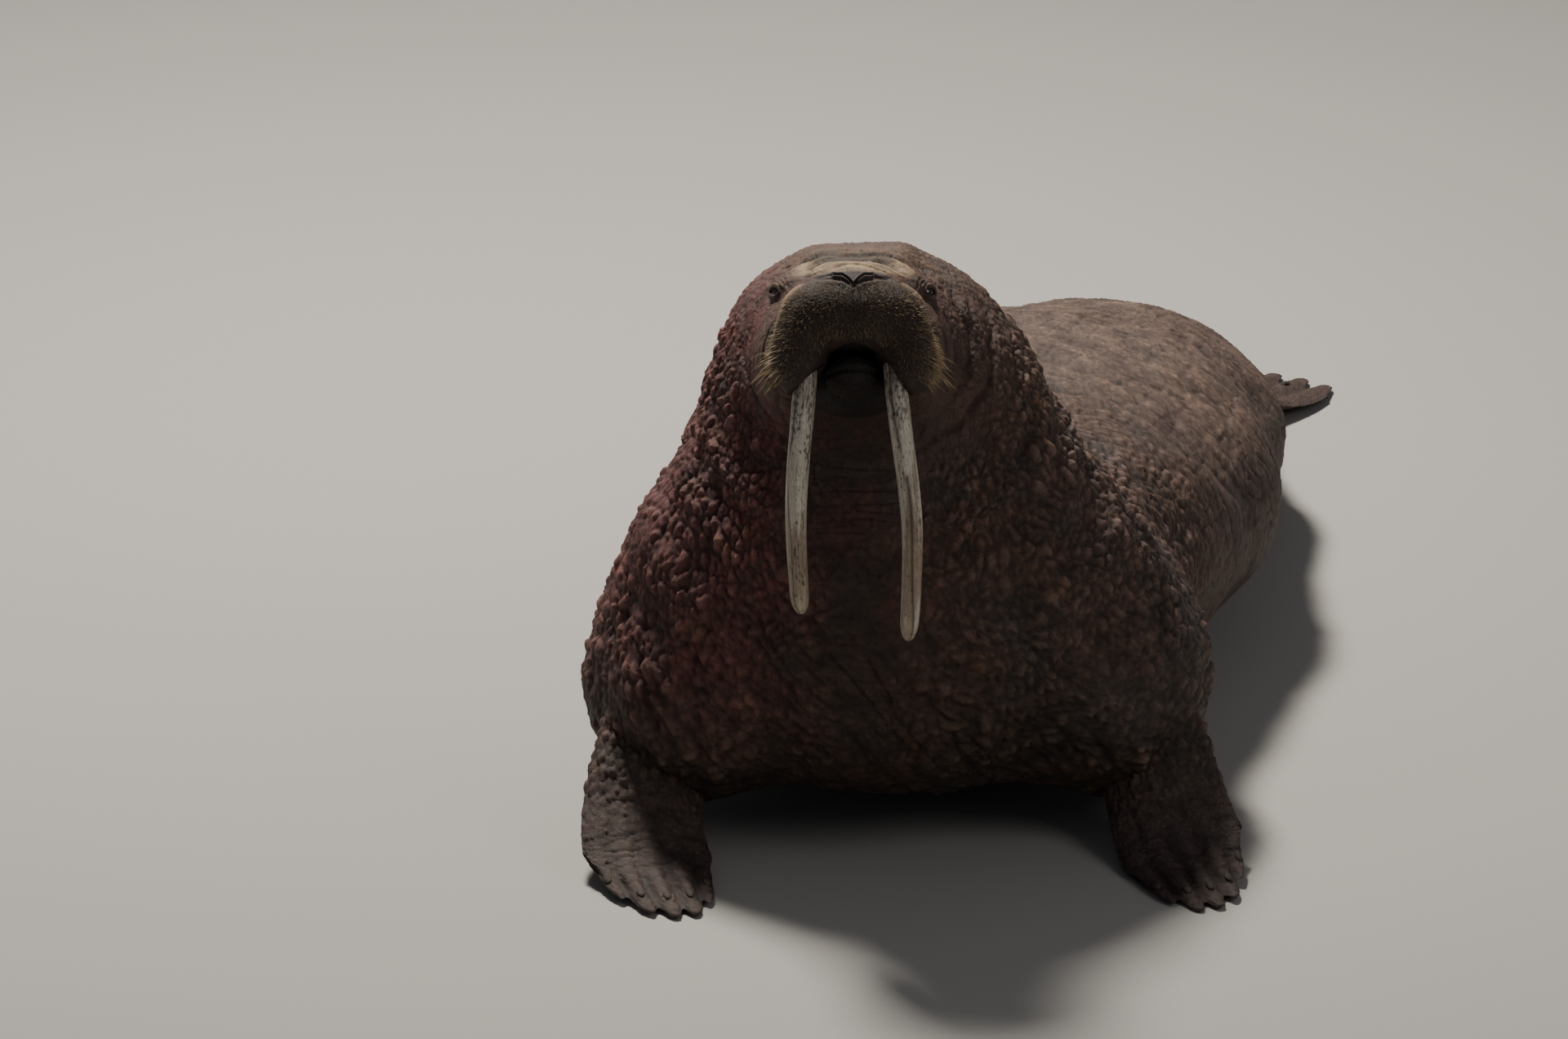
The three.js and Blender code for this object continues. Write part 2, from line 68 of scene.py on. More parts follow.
headFlesh = [
    {"at": (0, 190, 40), "size": (165, 200, 145), "blend": 40},
    {"at": (0, 50, 45), "size": (112, 160, 84), "blend": 50},
    {"at": (0, -32, 100), "size": (58, 58, 30), "blend": 26},
    {"at": (54, -42, 42), "size": (84, 64, 66), "pair": True, "blend": 26},
    {"at": (0, -48, 36), "size": (58, 54, 58), "blend": 28},
    {"at": (108, -38, -22), "size": (48, 64, 84), "roll": -12, "pair": True, "blend": 34},
    {"at": (112, 120, -35), "size": (80, 130, 110), "pair": True, "blend": 50},
    {"at": (104, 118, 106), "size": (42, 56, 24), "pair": True, "blend": 26},
    {"at": (0, 100, -96), "size": (90, 120, 60), "blend": 40},
]
jawFlesh = [
    {"at": (0, 44, -80), "size": (60, 96, 48), "blend": 20},
    {"at": (0, -22, -70), "size": (49, 42, 34), "blend": 30},
]
bodyFlesh = [
    {"at": (15, 70, 1045), "size": (220, 190, 130), "blend": 90},
    {"at": (40, 80, 930), "size": (300, 250, 190), "blend": 110},
    {"at": (57, 90, 760), "size": (370, 310, 240), "blend": 120},
    {"at": (75, 90, 520), "size": (505, 350, 320), "blend": 140},
    {"at": (90, 200, 370), "size": (560, 480, 330), "blend": 140},
    {"at": (210, 720, 330), "size": (560, 560, 360), "yaw": 17, "blend": 200},
    {"at": (390, 1250, 290), "size": (520, 600, 330), "yaw": 18, "blend": 200},
    {"at": (580, 1830, 210), "size": (370, 480, 250), "yaw": 18, "blend": 200},
    {"at": (715, 2250, 130), "size": (210, 260, 150), "yaw": 18, "blend": 150},
    {"at": (-342, 60, 250), "size": (165, 240, 200), "yaw": 15, "blend": 160},
    {"at": (548, 80, 250), "size": (165, 240, 200), "yaw": -15, "blend": 160},
]
eyeForm = {"at": (138, 101, 90), "radius": 17, "looks": (0.72, -0.66, 0.12)}
lidForm = {"at": (134, 106, 90), "size": (24, 32, 27), "pair": True, "blend": 14}


# A turn by pitch about x, then roll about y, then yaw about z, as a 3 by 3 matrix.
def turning(pitch=0, roll=0, yaw=0):
    p, r, y = pitch * degree, roll * degree, yaw * degree
    rx = np.array([[1, 0, 0], [0, math.cos(p), -math.sin(p)], [0, math.sin(p), math.cos(p)]])
    ry = np.array([[math.cos(r), 0, math.sin(r)], [0, 1, 0], [-math.sin(r), 0, math.cos(r)]])
    rz = np.array([[math.cos(y), -math.sin(y), 0], [math.sin(y), math.cos(y), 0], [0, 0, 1]])
    return rz @ ry @ rx


headPlace = np.array(posture["headPlace"], float)
headTurn = turning(pitch=-posture["headPitch"])


# Vectors of length one along the given ones.
def normed(v):
    return v / np.linalg.norm(v, axis=-1, keepdims=True)


# Angles of so many columns all round.
def turns(columns):
    return 2 * math.pi * np.arange(columns) / columns


# From the head's frame to the animal's: turned by the head's pitch, then moved to its place.
def fromHead(p):
    return np.asarray(p, float) @ headTurn.T + headPlace


# From the animal's frame to the head's.
def toHead(p):
    return (p - headPlace) @ headTurn


# Ellipsoids of flesh ready to measure: paired ones are mirrored in x, head ones are placed.
def fleshOf(forms, inHead=False):
    out = []
    for form in forms:
        for sign in ((1, -1) if form.get("pair") else (1,)):
            x, y, z = form["at"]
            turn = turning(form.get("pitch", 0), form.get("roll", 0) * sign, form.get("yaw", 0) * sign)
            at = np.array([x * sign, y, z], float)
            if inHead:
                at, turn = fromHead(at), headTurn @ turn
            out.append((at, turn, np.array(form["size"], float), form["blend"]))
    return out


# Distance outside one ellipsoid, to first order: k (k - 1) / |gradient of k|.
def outside(flesh, p):
    at, turn, size = flesh[:3]
    q = ((p - at) @ turn) / size
    far = np.sqrt((q * q).sum(-1))
    q /= size
    slope = np.sqrt((q * q).sum(-1))
    return far * (far - 1) / np.maximum(slope, 1e-9)


# The lesser of two distances, less a blend where they differ by under k.
def softMin(a, b, k):
    h = np.maximum(k - np.abs(a - b), 0) / k
    return np.minimum(a, b) - h * h * k / 4


# Signed distance to the blended flesh, rounded where it meets the floor.
def fieldAt(p, flesh):
    d = np.full(p.shape[:-1], 1e9)
    for one in flesh:
        d = softMin(d, outside(one, p), one[3])
    return -softMin(-d, p[..., 2], posture["floorRound"])


wholeFlesh = fleshOf(bodyFlesh) + fleshOf(headFlesh, True) + fleshOf([lidForm], True)
padFlesh = fleshOf(headFlesh[3:6], True)
padBridge = {"from": 40, "to": 90, "adds": 16}


# How far a place stands off the whisker pads' own forms, less what the blend between them adds.
def fromPads(p):
    between = 1 - smooth(np.abs(toHead(p)[..., 0]), padBridge["from"], padBridge["to"])
    return np.min([outside(one, p) for one in padFlesh], 0) - padBridge["adds"] * between


# Reaches of rays followed inwards until they meet the flesh: each step is a share of the distance.
def followed(start, way, reach, flesh, steps, share):
    for _ in range(steps):
        reach = np.maximum(reach - share * fieldAt(start + way * reach[..., None], flesh), 1)
    return reach


# The frame centres the animal on its bounding box, and the eye shows by how much.
eyeBox = np.array(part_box("eye_left"), float)
partShift = eyeBox.mean(0) * 1000 - fromHead(eyeForm["at"])
print("shift", partShift.round(2))


# Steady pseudo-random numbers from 0 to 1 for whole-number places.
def hashed(i, j, k, seed):
    mask = 0xFFFFFFFF
    h = ((i * 73856093) & mask) ^ ((j * 19349663) & mask) ^ ((k * 83492791) & mask)
    h = (h ^ (seed * 2654435761 & mask)) & mask
    h = ((h ^ (h >> 13)) * 1274126177) & mask
    h = ((h ^ (h >> 16)) * 2246822519) & mask
    return ((h ^ (h >> 15)) & 0xFFFFFF) / 0xFFFFFF


# A step from 0 to 1 between two values, by 3 u squared less 2 u cubed.
def smooth(x, low=0.0, high=1.0):
    u = np.clip((x - low) / (high - low), 0, 1)
    return u * u * (3 - 2 * u)


# Value noise from -1 to 1: lattice values mixed by smooth steps. p is in cells.
def noiseAt(p, seed):
    base = np.floor(p).astype(np.int64)
    f = p - base
    f = f * f * (3 - 2 * f)
    total = 0
    for corner in itertools.product((0, 1), repeat=3):
        x, y, z = (f[..., k] if corner[k] else 1 - f[..., k] for k in range(3))
        total = total + x * y * z * hashed(*(base[..., k] + corner[k] for k in range(3)), seed)
    return total * 2 - 1


# Noise in octaves, each about half the size and half the height of the one before.
def layered(p, seed, octaves=3):
    return sum(noiseAt(p * 2.03 ** n + 11.3 * n, seed + n) * 0.5 ** n for n in range(octaves))


# Nearest and second nearest of a jittered lattice's points, and a number for the nearest.
def cellsAt(p, seed, jitter=0.85):
    base = np.floor(p).astype(np.int64)
    near = np.full(p.shape[:-1], 9.0)
    second = near.copy()
    name = np.zeros(p.shape[:-1])
    for step in itertools.product((-1, 0, 1), repeat=3):
        c = base + step
        place = [hashed(c[..., 0], c[..., 1], c[..., 2], seed + n) for n in range(3)]
        q = c + 0.5 + jitter * (np.stack(place, -1) - 0.5) - p
        d = np.sqrt((q * q).sum(-1))
        closer = d < near
        second = np.where(closer, near, np.minimum(second, d))
        name = np.where(closer, place[0], name)
        near = np.where(closer, d, near)
    return near, second, name


# Rounded bosses with creases between them: 1 on top, 0 in the creases, larger or smaller by cell.
def bossesAt(p, seed):
    near, second, name = cellsAt(p, seed)
    dome = smooth(second - near, 0.0, 0.42) * (1 - 0.35 * near * near)
    return dome * (0.55 + 0.45 * name)


# Catmull-Rom through the stations: middle, axis, side and up of the section at t.
def stationAt(t):
    rows = np.array(posture["stations"], float)
    t = np.asarray(t, float)
    i = np.clip(np.floor(t).astype(int), 0, len(rows) - 2)
    u = (t - i)[:, None]
    a, b, c, d = (rows[np.clip(i + n, 0, len(rows) - 1)] for n in (-1, 0, 1, 2))
    square, cube = 2 * a - 5 * b + 4 * c - d, 3 * b - a - 3 * c + d
    mix = 0.5 * (2 * b + (c - a) * u + square * u ** 2 + cube * u ** 3)
    pitch, yaw = mix[:, 3] * degree, mix[:, 4] * degree
    axis = np.stack([-np.sin(yaw) * np.cos(pitch), -np.cos(yaw) * np.cos(pitch), np.sin(pitch)], -1)
    side = np.stack([np.cos(yaw), -np.sin(yaw), 0 * yaw], -1)
    return mix[:, :3], axis, side, np.cross(axis, side)


# A sheet over the flesh: rays leave each section's middle, and each is followed inwards from
# outside until it meets the flesh. A coarse sheet is solved first and gives the fine one its start.
def coverFlesh(t, lean, columns, flesh, far=900):
    middle, axis, side, up = stationAt(t)
    around = turns(columns)
    c, s = np.cos(around)[None, :, None], np.sin(around)[None, :, None]
    sl, cl = np.sin(lean)[:, None, None], np.cos(lean)[:, None, None]
    way = (side[:, None] * c + up[:, None] * s) * sl + axis[:, None] * cl
    start = middle[:, None]
    rowPick = np.unique(np.linspace(0, len(t) - 1, max(len(t) // 4, 8)).round().astype(int))
    colPick = np.arange(0, columns, 8)
    few = way[rowPick][:, colPick]
    coarse = followed(start[rowPick], few, np.full(few.shape[:2], float(far)), flesh, 40, 0.85)
    points = start[rowPick] + few * coarse[..., None]
    keep = []
    for one in flesh:  # flesh too far away to bulge this stretch is skipped
        if outside(one, points).min() < one[3] + 60:
            keep.append(one)
    closed = np.concatenate([coarse, coarse[:, :1]], 1)
    spots = np.append(colPick, columns)
    byCol = np.stack([np.interp(np.arange(columns), spots, row) for row in closed])
    guess = np.stack([np.interp(np.arange(len(t)), rowPick, byCol[:, j]) for j in range(columns)], 1)
    reach = followed(start, way, guess + 4, keep, 9, 0.85)
    return start + way * reach[..., None], way, around


# Normals of a sheet closed round its columns, from differences of its neighbours, all on the side
# that most of them have the rays on.
def sheetNormals(points, way):
    byRow = np.gradient(points, axis=0)
    byCol = np.roll(points, -1, 1) - np.roll(points, 1, 1)
    n = np.cross(byRow, byCol)
    n /= np.linalg.norm(n, axis=-1, keepdims=True) + 1e-12
    return n * np.sign(np.median((n * way).sum(-1)))


# Quads of a grid whose columns close round, and its rows too where it is a ring.
def gridQuads(rows, columns, ring=False):
    i, j = np.meshgrid(np.arange(rows if ring else rows - 1), np.arange(columns), indexing="ij")
    n, k = (i + 1) % rows, (j + 1) % columns
    quads = np.stack([i * columns + j, n * columns + j, n * columns + k, i * columns + k], -1)
    return quads.reshape(-1, 4)


# A closed mesh from a sheet of rows and columns. Rows close round; an end is a point in the
# middle of its row, or its two sides are sewn together.
def sheetPiece(name, points, first=None, last=None, tone=None, normals=None):
    rows, columns = points.shape[:2]
    verts = points.reshape(-1, 3)
    ring = np.arange(columns)
    endRing = (rows - 1) * columns + ring
    tris = []
    ends = []
    endRows = []
    if first is not None:
        tris.append(np.stack([np.full(columns, len(verts)), ring, np.roll(ring, -1)], -1))
        ends.append(first)
        endRows.append(0)
    if last is not None:
        tip = len(verts) + len(ends)
        tris.append(np.stack([np.full(columns, tip), np.roll(endRing, -1), endRing], -1))
        ends.append(last)
        endRows.append(rows - 1)
    else:
        n = np.arange(columns // 2)
        a, b, c, d = (endRing[m % columns] for m in (n, n + 1, -n - 1, -n))
        tris.append(np.stack([a, c, b], -1)[:-1])
        tris.append(np.stack([a, d, c], -1)[1:])
    verts = np.concatenate([verts] + [np.array(end)[None] for end in ends])

    def withEnds(values):
        flat = values.reshape(-1, values.shape[-1])
        return np.concatenate([flat] + [values[row].mean(0)[None] for row in endRows])

    tone = None if tone is None else withEnds(tone)
    normals = None if normals is None else withEnds(normals)
    return meshPiece(name, verts, gridQuads(rows, columns), np.concatenate(tris), tone, normals)


# A closed ring from a sheet whose rows and columns both close round.
def ringPiece(name, points, tone):
    quads = gridQuads(*points.shape[:2], True)
    return meshPiece(name, points.reshape(-1, 3), quads, np.zeros((0, 3), int), tone.reshape(-1, 4))


# The tone attribute of a colour; its fourth value, which says how far a place is whisker pad, is 0.
def toneOf(colour):
    return np.concatenate([colour, 0 * colour[..., :1]], -1)


# A base colour under layers of tint, each mixed in by its amount.
def tinted(base, layers, shape):
    colour = np.broadcast_to(np.array(base), shape).copy()
    for tint, amount in layers:
        colour += (np.array(tint) - colour) * amount[..., None]
    return colour


# The name of a piece from its kind and its own name.
def titled(kind, name):
    return kind + name[0].upper() + name[1:]


# Volume enclosed by the faces, taken as fans of triangles round the mean point.
def signedVolume(verts, quads, tris):
    centred = verts - verts.mean(0)
    total = 0.0
    for faces, picks in ((quads, ((0, 1, 2), (0, 2, 3))), (tris, ((0, 1, 2),))):
        for pick in picks:
            if len(faces):
                a, b, c = (centred[faces[:, k]] for k in pick)
                total += (a * np.cross(b, c)).sum()
    return total / 6


# A mesh object, in metres of the part's frame, from arrays of points, four- and three-sided faces.
def meshPiece(name, verts, quads, tris, tone=None, normals=None, uv=None):
    verts, quads, tris = (np.asarray(values) for values in (verts, quads, tris))
    quads, tris = quads.reshape(-1, 4), tris.reshape(-1, 3)
    if signedVolume(verts, quads, tris) < 0:
        quads, tris = quads[:, ::-1], tris[:, ::-1]
    mesh = bpy.data.meshes.new(name)
    place = (verts + partShift) / 1000
    loops = np.concatenate([quads.ravel(), tris.ravel()]).astype(np.int32)
    starts = np.concatenate([4 * np.arange(len(quads)), 4 * len(quads) + 3 * np.arange(len(tris))])
    mesh.vertices.add(len(place))
    mesh.vertices.foreach_set("co", place.astype(np.float32).ravel())
    mesh.loops.add(len(loops))
    mesh.loops.foreach_set("vertex_index", loops)
    mesh.polygons.add(len(starts))
    mesh.polygons.foreach_set("loop_start", starts.astype(np.int32))
    mesh.update(calc_edges=True)
    mesh.shade_smooth()
    if tone is not None:
        layer = mesh.attributes.new("tone", "FLOAT_COLOR", "POINT")
        layer.data.foreach_set("color", tone.astype(np.float32).ravel())
    if uv is not None:
        layer = mesh.uv_layers.new(name="OFBake")
        layer.data.foreach_set("uv", uv[loops].astype(np.float32).ravel())
    if normals is not None:
        mesh.normals_split_custom_set_from_vertices(normals.astype(np.float32))
    piece = bpy.data.objects.new(name, mesh)
    bpy.context.scene.collection.objects.link(piece)
    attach(piece, "root")
    return piece


tusk = {
    "left": {"length": 496, "root": (79, -30, -24), "out": 37, "spread": 0.72, "back": 10, "seed": 3,
             "streak": {"at": -0.25, "drift": 0.9, "wide": 0.13, "amount": 0.35}},
    "right": {"length": 445, "root": (-90, -30, -24), "out": -22, "spread": 0.7, "back": -13, "seed": 8,
              "streak": {"at": -0.85, "drift": 0.3, "wide": 0.10, "amount": 0.0}},
    "inGum": 60, "wide": 45, "deep": 64, "sweep": 62, "bulge": 26,
    "columns": 120, "rows": 240, "taper": 0.22, "swell": 0.020, "crackDepth": 0.030,
    "tip": {"rows": 30, "from": 0.93, "share": 0.07, "round": 0.074, "sunk": 1.5},
    "ivory": (0.68, 0.62, 0.51), "stain": (0.30, 0.205, 0.125), "crack": (0.050, 0.034, 0.025),
    "rootStainAndShade": (0.30, 0.24, 0.19), "wornAndLit": (0.50, 0.42, 0.31),
}


# Middle line of a tusk in the head's frame, for a share u of its length: it bows outward, then
# turns a little back, while it sweeps forward and then back under the muzzle.
def tuskLine(form, u):
    x0, y0, z0 = form["root"]
    x = x0 + form["out"] * smooth(u / form["spread"]) - form["back"] * u ** 4
    y = y0 - tusk["bulge"] * np.sin(math.pi * u) + tusk["sweep"] * u * u
    return x, y, z0 - (form["length"] + tusk["inGum"]) * u


# Distance from the nearer tusk's surface, level in the head's frame.
def fromTusks(h):
    best = np.full(h.shape[:-1], 1e9)
    for form in (tusk["left"], tusk["right"]):
        u = np.clip((form["root"][2] - h[..., 2]) / (form["length"] + tusk["inGum"]), 0, 1)
        x, y, _ = tuskLine(form, u)
        ring = np.hypot((h[..., 0] - x) / (tusk["wide"] / 2), (h[..., 1] - y) / (tusk["deep"] / 2))
        best = np.minimum(best, (ring - 1) * tusk["wide"] / 2)
    return best


hide = {
    "columns": 620,
    "fanRows": 150,
    "stretches": (("hideHead", 0.0, 1.35, 110), ("hideNeck", 1.35, 3.4, 154),
                  ("hideChest", 3.4, 5.6, 154), ("hideTrunk", 5.6, 7.2, 136),
                  ("hideRump", 7.2, 9.0, 126)),
    "rearRows": 26,
    "capInset": 25,
    "rolls": {"from": 1.7, "to": 4.6, "waves": 5, "depth": 6},
    "lumpCell": (20, 20, 31), "lumpHeight": 11.5,
    "beadCell": (12, 12, 17), "beadHeight": 4.0,
    "follicleCell": 5.2, "follicleHeight": 1.3,
    "swellCell": 210, "swellHeight": 11,
    "sway": {"cell": 140, "by": 24}, "shiver": {"cell": 38, "by": 7},
    "trunkYaw": 18,
    "slantWay": (0.78, 0.62),
    "brown": (0.104, 0.057, 0.042),
    "rosy": (0.150, 0.046, 0.043),
    "grey": (0.086, 0.059, 0.052),
    "olive": (0.060, 0.042, 0.031),
    "rust": (0.150, 0.071, 0.034),
    # Lighter on the upward-facing back and on lump tops: partly wear, partly painted light
    "wornAndLit": (0.205, 0.138, 0.104),
    "crown": (0.165, 0.100, 0.066),
    # The snout top's tan, partly its own colour and partly painted sunlight; also a painted highlight
    # on the pads' top edge
    "tan": (0.480, 0.340, 0.205),
    # Painted shade in the band between the pads' top and the snout top
    "nose": (0.078, 0.053, 0.050),
    "pad": (0.042, 0.025, 0.018),
    # Near black: painted shade filling the mouth's arch
    "dark": (0.018, 0.012, 0.010),
}

# Lines of the face, seen from the front in the head's own frame: half of each is given, x outward
# and z up, then how wide and how deep the fold is, and how much painted shade darkens it.
faceLines = {
    "padEdge": (((0, 91), (8, 96), (20, 102), (45, 106), (67, 105), (92, 98), (114, 80), (131, 58)),
                3.0, 2.6, 0.45),
    "nostril": (((3, 97), (7, 102), (13, 108), (21, 113), (36, 113)), 1.5, 5.0, 0.72),
    "noseFold": (((0, 124), (26, 123), (44, 120), (60, 114)), 2.4, 3.0, 0.5),
    "noseSide": (((40, 112), (60, 110), (84, 105), (100, 97)), 2.4, 3.0, 0.5),
    "browLow": (((0, 155), (30, 155), (52, 151), (78, 141), (98, 130)), 5.0, 8.0, 0.66),
    "browHigh": (((0, 164), (45, 164), (76, 157), (102, 146), (126, 134), (146, 122)), 4.0, 7.0, 0.62),
    "crownFold": (((20, 176), (60, 173), (100, 163), (135, 147), (164, 124), (186, 92)),
                  3.0, 5.0, 0.45),
}
# Rises and dips of the crown: across and up in the head's frame, how wide and how high.
crownForms = ((97, 178, 34, 11.0), (-76, 178, 34, 7.0), (8, 184, 26, -4.0))
# The upper edge of the whisker pads: how far out, and how high there.
padTop = ((0, 9, 22, 45, 67, 92, 114, 131, 143, 151, 158),
          (92, 97, 103, 106, 105, 98, 80, 58, 30, 5, -20))

# Where each region starts and where it is full: in stations along the body, in millimetres of the
# body's or of the head's frame, or as a share of the surface's normal.
spans = {
    "headEnd": (0.8, 1.5), "crownFormEnd": (1.3, 2.3), "trunk": (5.1, 6.4), "swell": (1.2, 3.0),
    "facingAhead": (0.2, 0.7), "facingDown": (0.35, 0.9), "facingUp": (0.1, 0.8),
    "crown": (96, 140), "snout": (-190, -60), "cheekBack": (-40, 50), "cheekOut": (84, 130),
    "neck": (0.9, 2.1), "nape": (80, 150), "napeEnd": (1.6, 2.6),
    "throat": (0.7, 1.4), "throatEnd": (3.6, 4.8), "jaw": (46, 90), "jawOut": (70, 130),
    "flare": (0, 650), "patchy": (-0.45, 0.5), "beads": (0.8, 2.0),
    "furrowOut": (120, 300), "furrows": (0.3, 1.2), "chestLow": (0, 260), "chest": (2.2, 3.6),
    "trunkTop": (100, 500), "drapeEnd": (1.4, 2.2), "cheekFoldOut": (90, 150), "roomy": (60, 160),
    "rosy": (-0.1, 0.9), "rosyFrom": (0.1, 0.9), "rosyRise": (120, 420), "rosyBack": (60, 360),
    "grey": (0.0, 0.8), "leftSide": (60, 240), "low": (0, 420), "rust": (0.25, 0.8),
    "ridge": (117, 126), "ridgeTop": (142, 156), "ridgeBack": (-190, -90), "ridgeOut": (92, 128),
    "rimOut": (84, 110), "rimBack": (-60, 0),
    "face": (-175, -120), "faceFront": (10, 40),
    "padUnder": (-1, 7), "padWithin": (0, 8), "padFront": (-60, -20),
    "borderOut": (80, 120), "borderFront": (-90, -30),
    "grooveLow": (-15, 10), "grooveHigh": (84, 94), "grooveFront": (60, 80),
    "mouth": (-2, 4), "mouthOut": (68, 76), "mouthDeep": (0, 8), "mouthDeepOut": (66, 72),
    "mouthFront": (20, 70), "collar": (10, 44), "collarFront": (-60, -10),
    "nose": (-3, 4), "noseTop": (117, 124), "noseOut": (70, 104), "noseFront": (20, 60),
}

# Families of folds, each where value noise with these cells crosses zero: the space it is read in,
# how far a slow noise bends it, the region that shows it, and the one it is cut into if another.
# dim is painted shade: how much each fold darkens the hide along its crease.
folds = {
    "furrow": {"space": "skin", "cell": (75, 75, 330), "bent": 0, "seed": 21, "sharp": 2.4,
               "where": "furrowed", "depth": 6.0, "dim": 0.36},
    "level": {"space": "body", "cell": (130, 130, 15), "bent": 1, "seed": 61, "sharp": 2.0,
              "where": "throat", "depth": 3.2, "dim": 0.34},
    "slant": {"space": "slant", "cell": (24, 90, 150), "bent": 0.7, "seed": 77, "sharp": 2.3,
              "where": "lowChest", "depth": 5.0, "dim": 0.42},
    "cross": {"space": "trunk", "cell": (170, 30, 140), "bent": 1, "seed": 73, "sharp": 2.3,
              "where": "trunk", "cut": "trunkTop", "depth": 1.5, "dim": 0.30},
    "long": {"space": "trunk", "cell": (26, 210, 40), "bent": 1, "seed": 79, "sharp": 2.3,
             "where": "trunk", "depth": 2.2, "dim": 0.15},
    "fine": {"space": "body", "cell": (8, 8, 10), "bent": 0.4, "seed": 91, "sharp": 1.8,
             "where": "bare", "cut": "bareCheek", "depth": 0.9, "dim": 0.18},
    "crease": {"space": "head", "cell": (120, 22, 22), "bent": 1, "seed": 95, "sharp": 2.2,
               "where": "crown", "depth": 4.2, "dim": 0.5},
    "furl": {"space": "head", "cell": (90, 8, 30), "bent": 1.5, "seed": 97, "sharp": 1.8,
             "where": "crown", "depth": 1.3, "dim": 0.35},
    "drape": {"space": "head", "cell": (30, 30, 170), "bent": 0.9, "seed": 99, "sharp": 2.2,
              "where": "draped", "depth": 5.5, "dim": 0.4},
}

# Folds round an eye: rings by radius and depth, darkened by painted shade, the lids' rim, the brow
# over them and a painted highlight along it, the opening between the lids, painted dark as shade,
# and painted shade beside it. Rings are so much wider than high.
eyeFolds = {
    "stretch": 1.25, "reach": 42, "ahead": -6,
    "rings": ((17.5, 3.0), (24, 2.4), (31, 2.0), (39, 1.6)), "ringWide": 2.1, "ringDim": 0.34,
    "rim": {"radius": 12, "wide": 4.5, "high": 1.2},
    "brow": {"up": 15, "bend": 0.010, "wide": 3.4, "high": 2.4},
    "light": {"up": 15, "bend": 0.02, "wide": 3.6, "amount": 0.7},
    "opening": {"half": 15.5, "upper": 6.2, "lower": 7.2, "drop": 0.2, "soft": 0.7, "deep": 12.5,
                "dim": 0.9},
    "shade": {"radius": 9, "wide": 4, "dim": 0.35},
}
# The ear: a rim round a pit, the pit painted dark as shade.
ear = {"at": (172, 262, 62), "rim": 11, "wide": 6, "high": 3.5, "deep": 10, "dim": 0.8}
muzzle = {
    "ridge": {"share": 0.35, "away": 2.2, "wide": 1.2}, "lineEnd": (-20, 4),
    "wander": {"cell": 26, "by": 2.4, "seed": 301},
    "padReach": 16,
    # The border's and the collar's dims are painted shade: in the crease round the pads and round each
    # tusk's root.
    "border": {"away": 22, "wide": 9, "deep": 5.0, "dim": 0.6},
    "groove": {"wide": 5, "deep": 1.6},
    "mouth": {"top": -16, "drop": 46, "half": 68, "deep": 12, "back": 60},
    "collar": {"away": 7, "wide": 9, "high": 9, "shadeWide": 6, "dim": 0.55},
}


# Distance in a plane to a line of points.
def lineDistance(x, z, points):
    best = np.full(x.shape, 1e9)
    for (ax, az), (bx, bz) in zip(points[:-1], points[1:]):
        dx, dz = bx - ax, bz - az
        u = np.clip(((x - ax) * dx + (z - az) * dz) / (dx * dx + dz * dz), 0, 1)
        best = np.minimum(best, np.hypot(x - ax - u * dx, z - az - u * dz))
    return best


# Lumps of skin: in each cell a boss creased along the cell's border and a bell over its middle,
# taller or lower by cell; and the cell's number.
def lumpsAt(p, seed):
    near, second, name = cellsAt(p, seed)
    boss = smooth(second - near, 0.0, 0.44) * (1 - 0.3 * near * near)
    return (0.6 * boss + 0.4 * np.exp(-near * near / 0.2)) * (0.35 + 0.65 * name), name


# Thin folds where value noise crosses zero; sharp is how thin they are.
def foldsAt(p, seed, sharp):
    return np.clip(1 - np.abs(noiseAt(p, seed)) * sharp, 0, 1) ** 2


# Rolls round the neck: a sine down the sections, faded at both ends.
def rollDepth(t, around):
    rolls = hide["rolls"]
    u = np.clip((t - rolls["from"]) / (rolls["to"] - rolls["from"]), 0, 1)[:, None]
    wave = np.sin(u * rolls["waves"] * 2 * math.pi + 0.6 * np.sin(2 * around)[None])
    return rolls["depth"] * np.sin(math.pi * u) * wave


# A bell: the exponential of minus the square of x over its width.
def bell(x, wide):
    return np.exp(-(x / wide) ** 2)


# From 0 to 1 as the value passes the named span.
def span(name, value):
    return smooth(value, *spans[name])


# Directions at an eye: across and up its lids, and out of the socket.
def eyeWays():
    out = normed(np.array(eyeForm["looks"]))
    up = normed(np.array([0, 0, 1.0]) - out * out[2])
    return np.cross(up, out), up, out


# Places round an eye along those directions, for either side of the head.
def aboutEye(h):
    q = np.stack([np.abs(h[..., 0]), h[..., 1], h[..., 2]], -1) - eyeForm["at"]
    return tuple(q @ way for way in eyeWays())


# Relief and painted shade of the lines of the face: a cut with a soft ridge beside it, both bells of
# the distance to the line, moved a little by noise where the line isn't a pad's edge or a nostril.
def lineRelief(h, near, wander):
    ax, hy, hz = np.abs(h[..., 0]), h[..., 1], h[..., 2]
    relief = np.zeros(ax.shape)
    shade = np.ones(ax.shape)
    ridge = muzzle["ridge"]
    faces = near * span("face", -hy)
    for name, (points, wide, deep, dim) in faceLines.items():
        still = name in ("nostril", "padEdge")
        d = lineDistance(ax + wander * (not still), hz + wander * (not still), points)
        shown = faces * (span("faceFront", -hy) if still or name[:4] == "nose" else 1)
        if not still:
            shown = shown * (1 - smooth(ax, *(points[-1][0] + end for end in muzzle["lineEnd"])))
        relief -= deep * bell(d, wide) * shown
        relief += ridge["share"] * deep * bell(d - ridge["away"] * wide, ridge["wide"] * wide) * shown
        # Painted shade along each line of the face.
        shade *= 1 - dim * bell(d, wide) * shown
    return relief, shade
